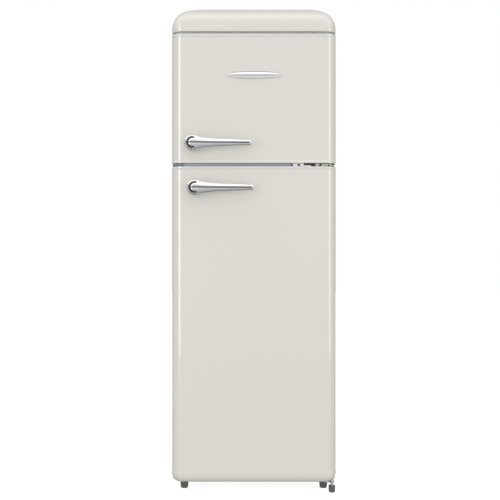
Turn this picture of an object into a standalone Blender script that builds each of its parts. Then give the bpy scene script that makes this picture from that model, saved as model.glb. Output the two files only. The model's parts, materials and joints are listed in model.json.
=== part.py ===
"""A tall two-door refrigerator with the freezer on top, hinged on its right side.

Metres, +Z up. The front faces -Y, and +X is the right side as seen from the front.
The origin is the middle of the floor under the whole object's box.
"""

import math

import bmesh
import bpy
from mathutils import Matrix, Vector

# Driving dimensions of the outside
WIDTH = 0.545
FLOOR_GAP = 0.036
FRIDGE_DOOR_HEIGHT = 1.049
MIDDLE_GAP = 0.011
FREEZER_DOOR_HEIGHT = 0.427
TOP_GAP = 0.007
CROWN_HEIGHT = 0.082
HANDLE_REACH = 0.045
DOOR_DEPTH = 0.062
GASKET_DEPTH = 0.012
CABINET_DEPTH = 0.480
REAR_STANDOFF = 0.030

# Walls, sheets and clearances
FIT = 0.0003
RUN = 0.0006  # radial play of a turning or sliding pin
SIDE_STEP = 0.002  # the cabinet's side stands back from the doors' by this
SHEET = 0.0015
LINER = 0.002
PAN = 0.002
SIDE_WALL = 0.045
BACK_WALL = 0.050
TOP_WALL = 0.050
FLOOR_WALL = 0.050
MULLION = 0.050
SIDE_FLANGE = 0.020

# Doors
DOOR_EDGE = 0.036  # fillet between a door's face and its side
FREEZER_TOP_END = 0.010
END_STRIP = 0.010
CURVED_END = 0.031
CURVED_END_SIDE = 0.019  # how far the curved lower end draws in at each side
CURVED_END_TIGHTEN = 0.012  # how much rounder its corners grow
LINER_PLATE = 0.0027
RIDGE_OUT = 0.0125  # a ridge's clearance to the compartment's side wall
RIDGE_WIDTH = 0.025
RIDGE_DEPTH = 0.045
CROSS_RIDGE_DEPTH = 0.030
RIDGE_END_GAP = 0.011
GASKET_WIDTH = 0.014
GASKET_END_INSET = 0.009

# Hinges
AXIS_INSET = 0.0118
AXIS_SETBACK = 0.040
PIN_RADIUS = 0.004
PIN_ENTRY = 0.008
HINGE_PLATE = 0.0035
HINGE_EAR = 0.008

# Crown
CROWN_SIDE_RADIUS = 0.070
CROWN_FRONT_RADIUS = 0.038
CROWN_BACK_RADIUS = 0.020
CROWN_WALL = 0.003

# Machine compartment
STEP_DEPTH = 0.165
STEP_HEIGHT = 0.207
HUMP_WALL = 0.033
COMPRESSOR_RADIUS = 0.066
COMPRESSOR_HEIGHT = 0.150
RAIL_RISE = 0.010
COIL_RADIUS = 0.0024
COIL_RUNS = 11

# Inside
BIN_DEPTH = 0.095
BIN_WALL = 0.0025
GLASS = 0.004
DRAWER_WALL = 0.0025
DRAWER_HEIGHT = 0.180
SHELF_RISES = (0.385, 0.575, 0.765)  # above the fridge compartment's floor
FREEZER_SHELF_RISE = 0.175
COVER_RISE = 0.008  # of the crisper's cover above the hump
RIB_HEIGHT = 0.006
BOTTLE_BIN_HEIGHT = 0.105
DOOR_BIN_HEIGHT = 0.070
FRIDGE_BIN_RISES = (0.395, 0.680)
FREEZER_BIN_RISES = (0.022, 0.190)

# Handles
HANDLE_LENGTH = 0.218
HANDLE_BULB = 0.053
HANDLE_BULB_DEPTH = 0.021
LEVER_DEPTH = 0.015  # of the bar beside the bulb; its tip is thinner by LEVER_THINNING
LEVER_THINNING = 0.004
TIP_ROUND = 0.0045
LEVER_OUTLINE = (  # share of the length, half height as a share of the bulb's radius
    (0.190, 0.832),
    (0.212, 0.766),
    (0.245, 0.706),
    (0.300, 0.645),
    (0.390, 0.570),
    (0.490, 0.524),
    (0.610, 0.487),
    (0.720, 0.448),
    (0.840, 0.408),
    (0.940, 0.374),
    (1.000, 0.356),
)
BASE_RADII = (0.022, 0.016, 0.012, 0.010)  # of the handle's foot, from the door outwards
BASE_FLANGE = 0.004
THROUGH = 0.01  # how far a cutter reaches past what it cuts
BORE_SPARE = 0.001
STRIP_ROUND = 0.0015
PLATE_INSET = 0.001
LOW_CROSS_RIDGE = 0.014
TOP_CROSS_RIDGE = 0.021
GASKET_SIDE_INSET = 0.002
HINGE_ARM = 0.050
HINGE_FLANGE = 0.130
HINGE_FLANGE_RISE = 0.010
TOP_HINGE_SEAT = 0.060
STUD_RADIUS = 0.004
RAIL_SHEET = 0.003
COMPRESSOR_FOOT_HALF = 0.085
TRAY_WALL = 0.002
ICE_TRAY_HALF = 0.055
ICE_TRAY_HEIGHT = 0.036
ICE_TRAY_LENGTH = 0.240
ICE_TRAY_SETBACK = 0.020
COIL_HALF = 0.205
UPRIGHT_OUTER = 0.150
UPRIGHT_WIDTH = 0.015
STRAP_SHEET = 0.004
STRIP_SETBACK = 0.006  # of the strip between the doors, behind their faces
STRIP_CLEARANCE = 0.0015
EMBLEM_HALF = 0.092
EMBLEM_RISE = 0.0135
EMBLEM_THICK = 0.004
EMBLEM_DROP = 0.135  # of its centre below the freezer door's upper edge
FREEZER_HANDLE_RISE = 0.064  # of the handle's axis above the freezer door's lower edge
FRIDGE_HANDLE_DROP = 0.0713  # below the fridge door's upper edge
FREEZER_HANDLE_INSET = 0.0455
FRIDGE_HANDLE_INSET = 0.053

# Feet
FOOT_RADIUS = 0.014
FOOT_HEIGHT = 0.026
HINGE_FOOT_RADIUS = 0.0115
HINGE_FOOT_HEIGHT = 0.022
FOOT_INSET = 0.036
FOOT_SETBACK = 0.025

# Places that follow
DEPTH = HANDLE_REACH + DOOR_DEPTH + GASKET_DEPTH + CABINET_DEPTH + REAR_STANDOFF
DOOR_FRONT = HANDLE_REACH - DEPTH / 2
DOOR_BACK = DOOR_FRONT + DOOR_DEPTH
CABINET_FRONT = DOOR_BACK + GASKET_DEPTH
CABINET_BACK = CABINET_FRONT + CABINET_DEPTH
FRIDGE_DOOR_LOW = FLOOR_GAP
FRIDGE_DOOR_TOP = FRIDGE_DOOR_LOW + FRIDGE_DOOR_HEIGHT
FREEZER_DOOR_LOW = FRIDGE_DOOR_TOP + MIDDLE_GAP
FREEZER_DOOR_TOP = FREEZER_DOOR_LOW + FREEZER_DOOR_HEIGHT
CROWN_LOW = FREEZER_DOOR_TOP + TOP_GAP
HEIGHT = CROWN_LOW + CROWN_HEIGHT

HINGE_PLATE_TOP = FLOOR_GAP - 0.001
CABINET_LOW = HINGE_PLATE_TOP + FIT
CABINET_TOP = CROWN_LOW - FIT
CABINET_HALF = WIDTH / 2 - SIDE_STEP
INSIDE_HALF = CABINET_HALF - SHEET - FIT
FLANGE_HALF = CABINET_HALF - SIDE_FLANGE

GAP_MIDDLE = (FRIDGE_DOOR_TOP + FREEZER_DOOR_LOW) / 2
CAVITY_HALF = CABINET_HALF - SIDE_WALL
CAVITY_BACK = CABINET_BACK - BACK_WALL
FRIDGE_FLOOR = CABINET_LOW + FLOOR_WALL
FRIDGE_CEILING = GAP_MIDDLE - MULLION / 2
FREEZER_FLOOR = GAP_MIDDLE + MULLION / 2
FREEZER_CEILING = CABINET_TOP - TOP_WALL
LIP = 0.012  # the liners' front lips beside the mullion rail
LOWER_LIP = 0.025
FACE = max(SHEET, LINER, PAN)  # thickest sheet on the cabinet's front face

STEP_FRONT = CABINET_BACK - STEP_DEPTH
STEP_TOP = CABINET_LOW + STEP_HEIGHT
HUMP_FRONT = STEP_FRONT - PAN - HUMP_WALL
HUMP_TOP = STEP_TOP + PAN + HUMP_WALL

HINGE_X = WIDTH / 2 - AXIS_INSET
HINGE_Y = DOOR_FRONT + AXIS_SETBACK
RIDGE_HALF = CAVITY_HALF - RIDGE_OUT
BIN_HALF = RIDGE_HALF - RIDGE_WIDTH - FIT
BIN_BACK = DOOR_BACK + BIN_DEPTH
SHELF_FRONT = BIN_BACK + 0.018
PLATE_FRONT = DOOR_BACK - LINER_PLATE

SMOOTH = math.radians(35)


# Making meshes and objects


def finish(name, colour, roughness, metallic=0.0, alpha=1.0):
    made = bpy.data.materials.new(name)
    made.use_nodes = True
    shader = made.node_tree.nodes["Principled BSDF"]
    shader.inputs["Base Color"].default_value = (*colour, 1.0)
    shader.inputs["Roughness"].default_value = roughness
    shader.inputs["Metallic"].default_value = metallic
    shader.inputs["Alpha"].default_value = alpha
    made.diffuse_color = (*colour, alpha)
    return made


def placed(name, form):
    """The bmesh as an object in the scene, with its faces pointing out."""
    bmesh.ops.recalc_face_normals(form, faces=form.faces)
    mesh = bpy.data.meshes.new(name)
    form.to_mesh(mesh)
    form.free()
    mesh.shade_smooth()
    mesh.set_sharp_from_angle(angle=SMOOTH)
    made = bpy.data.objects.new(name, mesh)
    bpy.context.scene.collection.objects.link(made)
    return made


def node(name, form, material, axis=None):
    """A sub-part. One that moves is parented to the empty on its joint's axis."""
    made = placed(name, form)
    made.data.materials.append(material)
    if axis:
        made.parent = axis
        made.matrix_parent_inverse = Matrix.Translation(axis.location).inverted()
    return made


def tool(owner, form, operation):
    """Cuts the form out of the owner, or joins it on, as a live Boolean."""
    cutter = placed(owner.name + "_tool", form)
    cutter.hide_render = True
    cutter.display_type = "WIRE"
    change = owner.modifiers.new(operation.lower(), "BOOLEAN")
    change.operation = operation
    change.object = cutter


def carve(owner, form):
    tool(owner, form, "DIFFERENCE")


def join(owner, form):
    tool(owner, form, "UNION")


def joint_empty(name, place):
    made = bpy.data.objects.new(name, None)
    made.empty_display_size = 0.03
    made.location = place
    bpy.context.scene.collection.objects.link(made)
    return made


def block(low, high, form=None):
    form = form or bmesh.new()
    low, high = Vector(low), Vector(high)
    size = high - low
    where = Matrix.Translation((low + high) / 2) @ Matrix.Diagonal((*size, 1.0))
    bmesh.ops.create_cube(form, size=1.0, matrix=where)
    return form


def across(half, y0, y1, z0, z1, form=None):
    """A block as wide to the left as to the right."""
    return block((-half, y0, z0), (half, y1, z1), form)


def loft(rings, form=None):
    """Rings of as many points each, bridged one after the other, with both ends filled."""
    form = form or bmesh.new()
    loops = [[form.verts.new(point) for point in ring] for ring in rings]
    count = len(loops[0])
    for lower, upper in zip(loops, loops[1:]):
        for i in range(count):
            j = (i + 1) % count
            form.faces.new((lower[i], lower[j], upper[j], upper[i]))
    form.faces.new(loops[0][::-1])
    form.faces.new(loops[-1])
    return form


def side_prism(outline, half, form=None):
    """An outline of (y, z) points, as wide to the left as to the right."""
    return loft([[(x, y, z) for y, z in outline] for x in (-half, half)], form)


def plan_prism(outline, z0, z1, form=None):
    """An outline of (x, y) points between two heights."""
    return loft([[(x, y, z) for x, y in outline] for z in (z0, z1)], form)


def turned(profile, centre, axis="Z", segments=24, form=None):
    """Rings of (radius, distance along the axis from the centre)."""
    rings = []
    for radius, along in profile:
        ring = []
        for i in range(segments):
            turn = 2 * math.pi * (i + 0.5) / segments
            a, b = radius * math.cos(turn), radius * math.sin(turn)
            offset = {"X": (along, a, b), "Y": (a, along, b), "Z": (a, b, along)}[axis]
            ring.append(Vector(centre) + Vector(offset))
        rings.append(ring)
    return loft(rings, form)


def pin(radius, centre, start, end, axis="Z", form=None):
    return turned([(radius, start), (radius, end)], centre, axis, 20, form)


def corner(cx, cy, radius, start, steps):
    """A quarter circle of (x, y) points, from the start angle in degrees, anticlockwise."""
    turns = [math.radians(start + 90 * i / steps) for i in range(steps + 1)]
    return [(cx + radius * math.cos(t), cy + radius * math.sin(t)) for t in turns]


def rounded_plan(half, front, back, front_radius, back_radius, steps=8):
    """A rectangle of (x, y) points with round corners, anticlockwise from the left front."""
    low, high = front + front_radius, back - back_radius
    inner, rear = half - front_radius, half - back_radius
    return (
        corner(-inner, low, front_radius, 180, steps)
        + corner(inner, low, front_radius, 270, steps)
        + corner(rear, high, back_radius, 0, 3)
        + corner(-rear, high, back_radius, 90, 3)
    )


def door_plan(inset=0.0, back=PLATE_FRONT - FIT):
    """A door's outline in plan, drawn in by the inset at its front and sides."""
    radius = DOOR_EDGE - inset
    half = WIDTH / 2 - inset
    front = DOOR_FRONT + inset
    return (
        [(-half, back)]
        + corner(-half + radius, front + radius, radius, 180, 9)
        + corner(half - radius, front + radius, radius, 270, 9)
        + [(half, back)]
    )


def fillet_inset(radius, rise):
    """How far a quarter-round edge draws in, at a height above where it starts."""
    rise = min(max(rise, 0.0), radius)
    return radius - math.sqrt(radius * radius - rise * rise)


# Finishes

ENAMEL = finish("enamel", (0.70, 0.68, 0.63), 0.28)
CABINET_PAINT = finish("cabinet_paint", (0.66, 0.64, 0.60), 0.35)
CHROME = finish("chrome", (0.80, 0.80, 0.82), 0.08, 1.0)
ZINC = finish("zinc", (0.55, 0.56, 0.58), 0.30, 1.0)
PLASTIC = finish("white_plastic", (0.82, 0.83, 0.84), 0.35)
FOAM = finish("foam", (0.85, 0.78, 0.55), 0.95)
SEAL = finish("seal", (0.62, 0.62, 0.60), 0.55)
GLASS_FINISH = finish("shelf_glass", (0.80, 0.90, 0.86), 0.05, 0.0, 0.35)
CLEAR = finish("clear_plastic", (0.85, 0.88, 0.90), 0.10, 0.0, 0.4)
BLACK_STEEL = finish("black_steel", (0.02, 0.02, 0.022), 0.35, 0.2)
COPPER = finish("copper", (0.75, 0.38, 0.24), 0.3, 1.0)
FOOT_RUBBER = finish("foot_plastic", (0.16, 0.17, 0.16), 0.55)
GALVANISED = finish("galvanised", (0.60, 0.61, 0.62), 0.4, 1.0)
ALUMINIUM = finish("aluminium", (0.75, 0.76, 0.77), 0.35, 1.0)


# Cabinet


def outer_wrap():
    wrap = node(
        "outer_wrap",
        across(CABINET_HALF, CABINET_FRONT, CABINET_BACK, CABINET_LOW, CABINET_TOP),
        CABINET_PAINT,
    )
    below = CABINET_LOW - 0.01
    hollow_top = CABINET_TOP - SHEET
    behind = CABINET_BACK + 0.01
    carve(wrap, across(CABINET_HALF - SHEET, CABINET_FRONT + SHEET, behind, below, hollow_top))
    mouth_top = CABINET_TOP - SIDE_FLANGE
    carve(wrap, across(FLANGE_HALF, CABINET_FRONT - 0.01, CABINET_FRONT + 0.01, below, mouth_top))


def back_panel():
    low = STEP_TOP + PAN + FIT
    high = CABINET_TOP - SHEET - FIT
    form = across(INSIDE_HALF, CABINET_BACK - SHEET, CABINET_BACK, low, high)
    node("back_panel", form, GALVANISED)


def base_pan():
    """The stepped floor: under the fridge compartment, then up and over the compressor."""
    upstand = FRIDGE_FLOOR - LOWER_LIP - FIT
    low, top = CABINET_LOW, STEP_TOP
    outline = [
        (CABINET_FRONT, low),
        (STEP_FRONT, low),
        (STEP_FRONT, top),
        (CABINET_BACK, top),
        (CABINET_BACK, top + PAN),
        (STEP_FRONT - PAN, top + PAN),
        (STEP_FRONT - PAN, low + PAN),
        (CABINET_FRONT + PAN, low + PAN),
        (CABINET_FRONT + PAN, upstand),
        (CABINET_FRONT, upstand),
    ]
    pan = node("base_pan", side_prism(outline, INSIDE_HALF), CABINET_PAINT)
    corners = bmesh.new()
    for side in (-1, 1):
        ends = sorted((side * (FLANGE_HALF - FIT), side * (INSIDE_HALF + 0.01)))
        low_corner = (ends[0], CABINET_FRONT - 0.01, low - 0.01)
        block(low_corner, (ends[1], CABINET_FRONT + PAN + FIT, upstand + 0.01), corners)
    carve(pan, corners)


def fridge_outline(grow=0.0, front=CABINET_FRONT):
    """The fridge compartment from the side, with the hump over the compressor."""
    floor = FRIDGE_FLOOR - grow
    return [
        (front, floor),
        (HUMP_FRONT + grow, floor),
        (HUMP_FRONT + grow, HUMP_TOP - grow),
        (CAVITY_BACK + grow, HUMP_TOP - grow),
        (CAVITY_BACK + grow, FRIDGE_CEILING + grow),
        (front, FRIDGE_CEILING + grow),
    ]


def freezer_outline(grow=0.0, front=CABINET_FRONT):
    return [
        (front, FREEZER_FLOOR - grow),
        (CAVITY_BACK + grow, FREEZER_FLOOR - grow),
        (CAVITY_BACK + grow, FREEZER_CEILING + grow),
        (front, FREEZER_CEILING + grow),
    ]


def shelf_ribs(heights):
    """Ledges on both side walls, whose tops carry the shelves."""
    ribs = bmesh.new()
    for height in heights:
        for side in (-1, 1):
            ends = sorted((side * (CAVITY_HALF - 0.006), side * (CAVITY_HALF + LINER / 2)))
            low = (ends[0], SHELF_FRONT + 0.02, height - RIB_HEIGHT)
            block(low, (ends[1], CAVITY_BACK - 0.02, height - FIT), ribs)
    return ribs


def liner(name, outline, lip_low, lip_top, rib_heights):
    """A compartment's tub, open to the front, with a lip on the cabinet's front face."""
    lip_half = FLANGE_HALF - FIT
    plate = across(lip_half, CABINET_FRONT, CABINET_FRONT + LINER, lip_low, lip_top)
    made = node(name, plate, PLASTIC)
    shell_front = CABINET_FRONT + LINER / 2
    join(made, side_prism(outline(LINER, shell_front), CAVITY_HALF + LINER))
    carve(made, side_prism(outline(0.0, CABINET_FRONT - 0.01), CAVITY_HALF))
    join(made, shelf_ribs(rib_heights))


def cabinet_foam():
    front = CABINET_FRONT + FACE + FIT
    back = CABINET_BACK - SHEET - FIT
    top = CABINET_TOP - SHEET - FIT
    floor = CABINET_LOW + PAN + FIT
    outline = [
        (front, floor),
        (STEP_FRONT - PAN - FIT, floor),
        (STEP_FRONT - PAN - FIT, STEP_TOP + PAN + FIT),
        (back, STEP_TOP + PAN + FIT),
        (back, top),
        (front, top),
    ]
    foam = node("cabinet_foam", side_prism(outline, INSIDE_HALF), FOAM)
    room = LINER + FIT
    hollow_front = CABINET_FRONT - 0.01
    carve(foam, side_prism(fridge_outline(room, hollow_front), CAVITY_HALF + room))
    carve(foam, side_prism(freezer_outline(room, hollow_front), CAVITY_HALF + room))
    carve(foam, evaporator_form(FIT))


def evaporator_form(grow=0.0):
    """The evaporator lies against the back of the freezer's liner, inside the foam."""
    front = CAVITY_BACK + LINER + FIT - grow
    low, high = FREEZER_FLOOR + 0.02, FREEZER_CEILING - 0.02
    depth = 0.0015 + 2 * grow
    return across(CAVITY_HALF - 0.03 + grow, front, front + depth, low - grow, high + grow)


def mullion_rail():
    """The plate between the compartments, with a strip that fills the gap between the doors."""
    low, high = FRIDGE_CEILING + LIP + FIT, FREEZER_FLOOR - LIP - FIT
    form = across(FLANGE_HALF - FIT, CABINET_FRONT, CABINET_FRONT + SHEET, low, high)
    rail = node("mullion_rail", form, CABINET_PAINT)
    radius = DOOR_EDGE - STRIP_SETBACK
    left, right = STRIP_SETBACK - WIDTH / 2, HINGE_X - HINGE_FLANGE - STRIP_CLEARANCE
    front, back = DOOR_FRONT + STRIP_SETBACK, CABINET_FRONT + SHEET / 2
    outline = [(left, CABINET_FRONT - STRIP_CLEARANCE)]
    outline += corner(left + radius, front + radius, radius, 180, 9)
    root = 2 * STRIP_SETBACK - FLANGE_HALF
    outline += [(right, front), (right, back), (root, back), (root, CABINET_FRONT - STRIP_CLEARANCE)]
    half = MIDDLE_GAP / 2 - STRIP_CLEARANCE
    join(rail, plan_prism(outline, GAP_MIDDLE - half, GAP_MIDDLE + half))


def crown_rings(shrink, low):
    """Level rings up the crown, drawn in along its round upper edges."""
    rings = []
    side = CROWN_SIDE_RADIUS
    start = HEIGHT - side
    steps = 10
    heights = [low] + [start + side * math.sin(math.pi / 2 * i / steps) for i in range(steps + 1)]
    for height in heights:
        in_side = fillet_inset(side, height - start)
        in_front = fillet_inset(CROWN_FRONT_RADIUS, height - HEIGHT + CROWN_FRONT_RADIUS)
        in_back = fillet_inset(CROWN_BACK_RADIUS, height - HEIGHT + CROWN_BACK_RADIUS)
        outline = rounded_plan(
            WIDTH / 2 - in_side - shrink,
            DOOR_FRONT + in_front + shrink,
            CABINET_BACK - in_back - shrink,
            DOOR_EDGE - shrink,
            CROWN_BACK_RADIUS - shrink,
        )
        level = height if height == low else height - shrink
        rings.append([(x, y, level) for x, y in outline])
    return rings


def top_cap():
    cap = node("top_cap", loft(crown_rings(0.0, CROWN_LOW)), ENAMEL)
    carve(cap, loft(crown_rings(CROWN_WALL, CROWN_LOW - THROUGH)))


# Doors


def pin_bore(low, high):
    return pin(PIN_RADIUS + RUN, (HINGE_X, HINGE_Y, 0), low, high)


def door_skin(name, low, high, axis):
    skin = node(name, plan_prism(door_plan(), low, high), ENAMEL, axis)
    inner = plan_prism(door_plan(SHEET, DOOR_BACK + THROUGH), low - THROUGH, high + THROUGH)
    carve(skin, inner)


def door_foam(name, low, high, axis):
    outline = door_plan(SHEET + FIT)
    node(name, plan_prism(outline, low + FIT, high - FIT), FOAM, axis)


def curved_end_rings():
    """The fridge door's lower end: its front and sides roll under."""
    rings = []
    top = FRIDGE_DOOR_LOW + CURVED_END
    steps = 8
    for i in range(steps + 1):
        drop = CURVED_END * math.sin(math.pi / 2 * i / steps)
        share = drop / CURVED_END
        draw = 1 - math.sqrt(1 - share * share)
        front = DOOR_FRONT + CURVED_END * draw
        half = WIDTH / 2 - CURVED_END_SIDE * draw
        back = PLATE_FRONT - FIT
        radius = min(DOOR_EDGE - CURVED_END_TIGHTEN * draw, back - front)
        outline = (
            [(-half, back)]
            + corner(-half + radius, front + radius, radius, 180, 9)
            + corner(half - radius, front + radius, radius, 270, 9)
            + [(half, back)]
        )
        rings.append([(x, y, top - drop) for x, y in outline])
    return rings[::-1]


def door_ends(prefix, low, low_end, high, high_end, axis):
    """The plastic ends that close the skin, with the bores that turn on the pins."""
    if low_end == CURVED_END:
        form = loft(curved_end_rings())
    else:
        form = plan_prism(door_plan(), low, low + low_end - FIT)
    lower = node(prefix + "_door_lower_end", form, ENAMEL, axis)
    carve(lower, pin_bore(low - THROUGH, low + PIN_ENTRY + BORE_SPARE))
    rings = [(0.0, high - high_end + FIT), (0.0, high - STRIP_ROUND), (STRIP_ROUND, high)]
    form = loft([[(x, y, z) for x, y in door_plan(inset)] for inset, z in rings])
    upper = node(prefix + "_door_upper_end", form, ENAMEL, axis)
    carve(upper, pin_bore(high - PIN_ENTRY - BORE_SPARE, high + THROUGH))


def door_liner(name, low, high, ridge_low, ridge_high, axis):
    """The door's inner sheet, with upright ridges that carry the bins and two cross ridges."""
    half = WIDTH / 2 - PLATE_INSET
    plate = across(half, PLATE_FRONT, DOOR_BACK, low + 2 * PLATE_INSET, high - 2 * PLATE_INSET)
    made = node(name, plate, PLASTIC, axis)
    root = DOOR_BACK - LINER_PLATE / 2
    for side in (-1, 1):
        ends = sorted((side * (RIDGE_HALF - RIDGE_WIDTH), side * RIDGE_HALF))
        ridge = block((ends[0], root, ridge_low), (ends[1], DOOR_BACK + RIDGE_DEPTH, ridge_high))
        join(made, ridge)
    reach = DOOR_BACK + CROSS_RIDGE_DEPTH
    half = RIDGE_HALF - RIDGE_WIDTH / 2
    low_ridge = (ridge_low + PLATE_INSET, ridge_low + LOW_CROSS_RIDGE)
    top_ridge = (ridge_high - TOP_CROSS_RIDGE, ridge_high - PLATE_INSET)
    for z0, z1 in (low_ridge, top_ridge):
        join(made, across(half, root, reach, z0, z1))


def door_gasket(name, low, high, axis):
    outer = HINGE_X - GASKET_SIDE_INSET
    y0, y1 = DOOR_BACK + FIT, CABINET_FRONT - FIT
    z0, z1 = low + GASKET_END_INSET, high - GASKET_END_INSET
    ring = node(name, across(outer, y0, y1, z0, z1), SEAL, axis)
    inner = outer - GASKET_WIDTH
    carve(ring, across(inner, y0 - THROUGH, y1 + THROUGH, z0 + GASKET_WIDTH, z1 - GASKET_WIDTH))


def door_bin(name, low, height, axis):
    form = across(BIN_HALF, DOOR_BACK + FIT, BIN_BACK, low, low + height)
    made = node(name, form, CLEAR, axis)
    hollow = across(
        BIN_HALF - BIN_WALL,
        DOOR_BACK + FIT + BIN_WALL,
        BIN_BACK - BIN_WALL,
        low + BIN_WALL,
        low + height + THROUGH,
    )
    carve(made, hollow)


def handle_section(x, centre_y, half_height, half_depth, z, count=20):
    ring = []
    for i in range(count):
        turn = 2 * math.pi * i / count
        ring.append((x, centre_y + half_depth * math.cos(turn), z + half_height * math.sin(turn)))
    return ring


def handle_lever(name, left, z, axis):
    """A bar that tapers to its free end, from a round bulb over the mounting base."""
    centre_y = DOOR_FRONT - HANDLE_REACH + HANDLE_BULB_DEPTH / 2
    radius = HANDLE_BULB / 2
    steps = 12
    turns = [math.pi * (0.045 + 0.455 * i / steps) for i in range(steps + 1)]
    stations = [radius * (1 - math.cos(turn)) for turn in turns]
    stations += [radius * (1 + math.sin(math.radians(turn))) for turn in (10, 20)]
    stations += [HANDLE_LENGTH * share for share, _ in LEVER_OUTLINE[:-1]]
    stations += [HANDLE_LENGTH - TIP_ROUND * (1 - share) for share in (0.0, 0.5, 0.85, 1.0)]
    rings = []
    for along in stations:
        half_height, half_depth = lever_size(along, radius)
        rings.append(handle_section(left + along, centre_y, half_height, half_depth, z))
    node(name, loft(rings), CHROME, axis)


def lever_size(along, radius):
    """Half height and half depth of the lever, at a distance from its round end."""
    round_height = math.sqrt(max(radius * radius - (along - radius) ** 2, 0.0))
    share = along / HANDLE_LENGTH
    neck = 0.0
    for (start, tall), (end, short) in zip(LEVER_OUTLINE, LEVER_OUTLINE[1:]):
        if start <= share <= end:
            neck = radius * (tall + (short - tall) * (share - start) / (end - start))
    bar = (LEVER_DEPTH - LEVER_THINNING * share) / 2 if neck else 0.0
    dome = HANDLE_BULB_DEPTH / 2 * round_height / radius
    half_height, half_depth = max(round_height, neck), max(dome, bar)
    from_tip = min((HANDLE_LENGTH - along) / TIP_ROUND, 1.0)
    loss = TIP_ROUND * (1 - math.sqrt(1 - (1 - from_tip) ** 2)) * 0.9
    return half_height - loss, half_depth - loss


def handle_base(name, left, z, axis):
    """The turned foot between the door and the lever's bulb."""
    reach = HANDLE_REACH - HANDLE_BULB_DEPTH - FIT
    centre = (left + HANDLE_BULB / 2, DOOR_FRONT, z)
    flange, waist, neck, end = BASE_RADII
    profile = [
        (flange, -FIT),
        (flange, -BASE_FLANGE),
        (waist, -2 * BASE_FLANGE),
        (neck, -reach + BASE_FLANGE),
        (end, -reach),
    ]
    node(name, turned(profile, centre, "Y", 20), CHROME, axis)


def emblem(axis):
    """A plain lens-shaped bar with nothing written on it."""
    z = FREEZER_DOOR_TOP - EMBLEM_DROP
    outline = []
    count = 24
    for i in range(count):
        turn = 2 * math.pi * i / count
        outline.append((EMBLEM_HALF * math.cos(turn), z + EMBLEM_RISE * math.sin(turn)))
    back = DOOR_FRONT - FIT
    rings = [[(x, y, height) for x, height in outline] for y in (back - EMBLEM_THICK, back)]
    node("freezer_door_emblem", loft(rings), CHROME, axis)


def freezer_door(axis):
    low, high = FREEZER_DOOR_LOW, FREEZER_DOOR_TOP
    inner_low, inner_high = low + END_STRIP, high - FREEZER_TOP_END
    door_skin("freezer_door_skin", inner_low, inner_high, axis)
    door_foam("freezer_door_foam", inner_low, inner_high, axis)
    door_ends("freezer", low, END_STRIP, high, FREEZER_TOP_END, axis)
    ridges = (FREEZER_FLOOR + RIDGE_END_GAP, FREEZER_CEILING - RIDGE_END_GAP)
    door_liner("freezer_door_liner", low, high, *ridges, axis)
    door_gasket("freezer_door_gasket", low, high, axis)
    names = ("freezer_door_lower_bin", "freezer_door_upper_bin")
    for name, rise in zip(names, FREEZER_BIN_RISES):
        door_bin(name, FREEZER_FLOOR + rise + RIDGE_END_GAP, DOOR_BIN_HEIGHT, axis)
    left = -WIDTH / 2 + FREEZER_HANDLE_INSET
    handle_base("freezer_handle_base", left, low + FREEZER_HANDLE_RISE, axis)
    handle_lever("freezer_handle_lever", left, low + FREEZER_HANDLE_RISE, axis)
    emblem(axis)


def fridge_door(axis):
    low, high = FRIDGE_DOOR_LOW, FRIDGE_DOOR_TOP
    inner_low, inner_high = low + CURVED_END + FIT, high - END_STRIP
    door_skin("fridge_door_skin", inner_low, inner_high, axis)
    door_foam("fridge_door_foam", inner_low, inner_high, axis)
    door_ends("fridge", low, CURVED_END, high, END_STRIP, axis)
    ridges = (FRIDGE_FLOOR + RIDGE_END_GAP, FRIDGE_CEILING - RIDGE_END_GAP)
    door_liner("fridge_door_liner", low, high, *ridges, axis)
    door_gasket("fridge_door_gasket", low, high, axis)
    door_bin("fridge_door_bottle_bin", FRIDGE_FLOOR + 0.026, BOTTLE_BIN_HEIGHT, axis)
    names = ("fridge_door_middle_bin", "fridge_door_upper_bin")
    for name, rise in zip(names, FRIDGE_BIN_RISES):
        door_bin(name, FRIDGE_FLOOR + rise, DOOR_BIN_HEIGHT, axis)
    left = -WIDTH / 2 + FRIDGE_HANDLE_INSET
    handle_base("fridge_handle_base", left, high - FRIDGE_HANDLE_DROP, axis)
    handle_lever("fridge_handle_lever", left, high - FRIDGE_HANDLE_DROP, axis)


# Hinges


def hinge_plan(back):
    """A plate from the cabinet to the pin, round in front of the pin."""
    arc = [math.radians(180 + 15 * i) for i in range(13)]
    nose = [(HINGE_X + HINGE_EAR * math.cos(t), HINGE_Y + HINGE_EAR * math.sin(t)) for t in arc]
    left = HINGE_X - HINGE_ARM
    return nose + [(HINGE_X + HINGE_EAR, back), (left, back), (left, HINGE_Y + 1.5 * HINGE_EAR)]


def hinge_pin(start, end):
    return pin(PIN_RADIUS, (HINGE_X, HINGE_Y, 0), start, end)


def top_hinge():
    low = CABINET_TOP + FIT
    form = plan_prism(hinge_plan(CABINET_FRONT + TOP_HINGE_SEAT), low, low + HINGE_PLATE)
    made = node("top_hinge", form, ZINC)
    join(made, hinge_pin(FREEZER_DOOR_TOP - PIN_ENTRY, low + HINGE_PLATE / 2))


def middle_hinge():
    """A plate between the doors, with a pin up and a pin down, on a flange screwed to the cabinet."""
    low = GAP_MIDDLE - HINGE_PLATE / 2
    back = CABINET_FRONT - FIT
    form = plan_prism(hinge_plan(back), low, low + HINGE_PLATE)
    made = node("middle_hinge", form, ZINC)
    join(made, hinge_pin(FRIDGE_DOOR_TOP - PIN_ENTRY, GAP_MIDDLE))
    join(made, hinge_pin(GAP_MIDDLE, FREEZER_DOOR_LOW + PIN_ENTRY))
    left, front = HINGE_X - HINGE_FLANGE, back - HINGE_PLATE
    low, high = GAP_MIDDLE - HINGE_FLANGE_RISE, GAP_MIDDLE + HINGE_FLANGE_RISE
    join(made, block((left, front, low), (HINGE_X + HINGE_EAR - FIT, back, high)))


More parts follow.
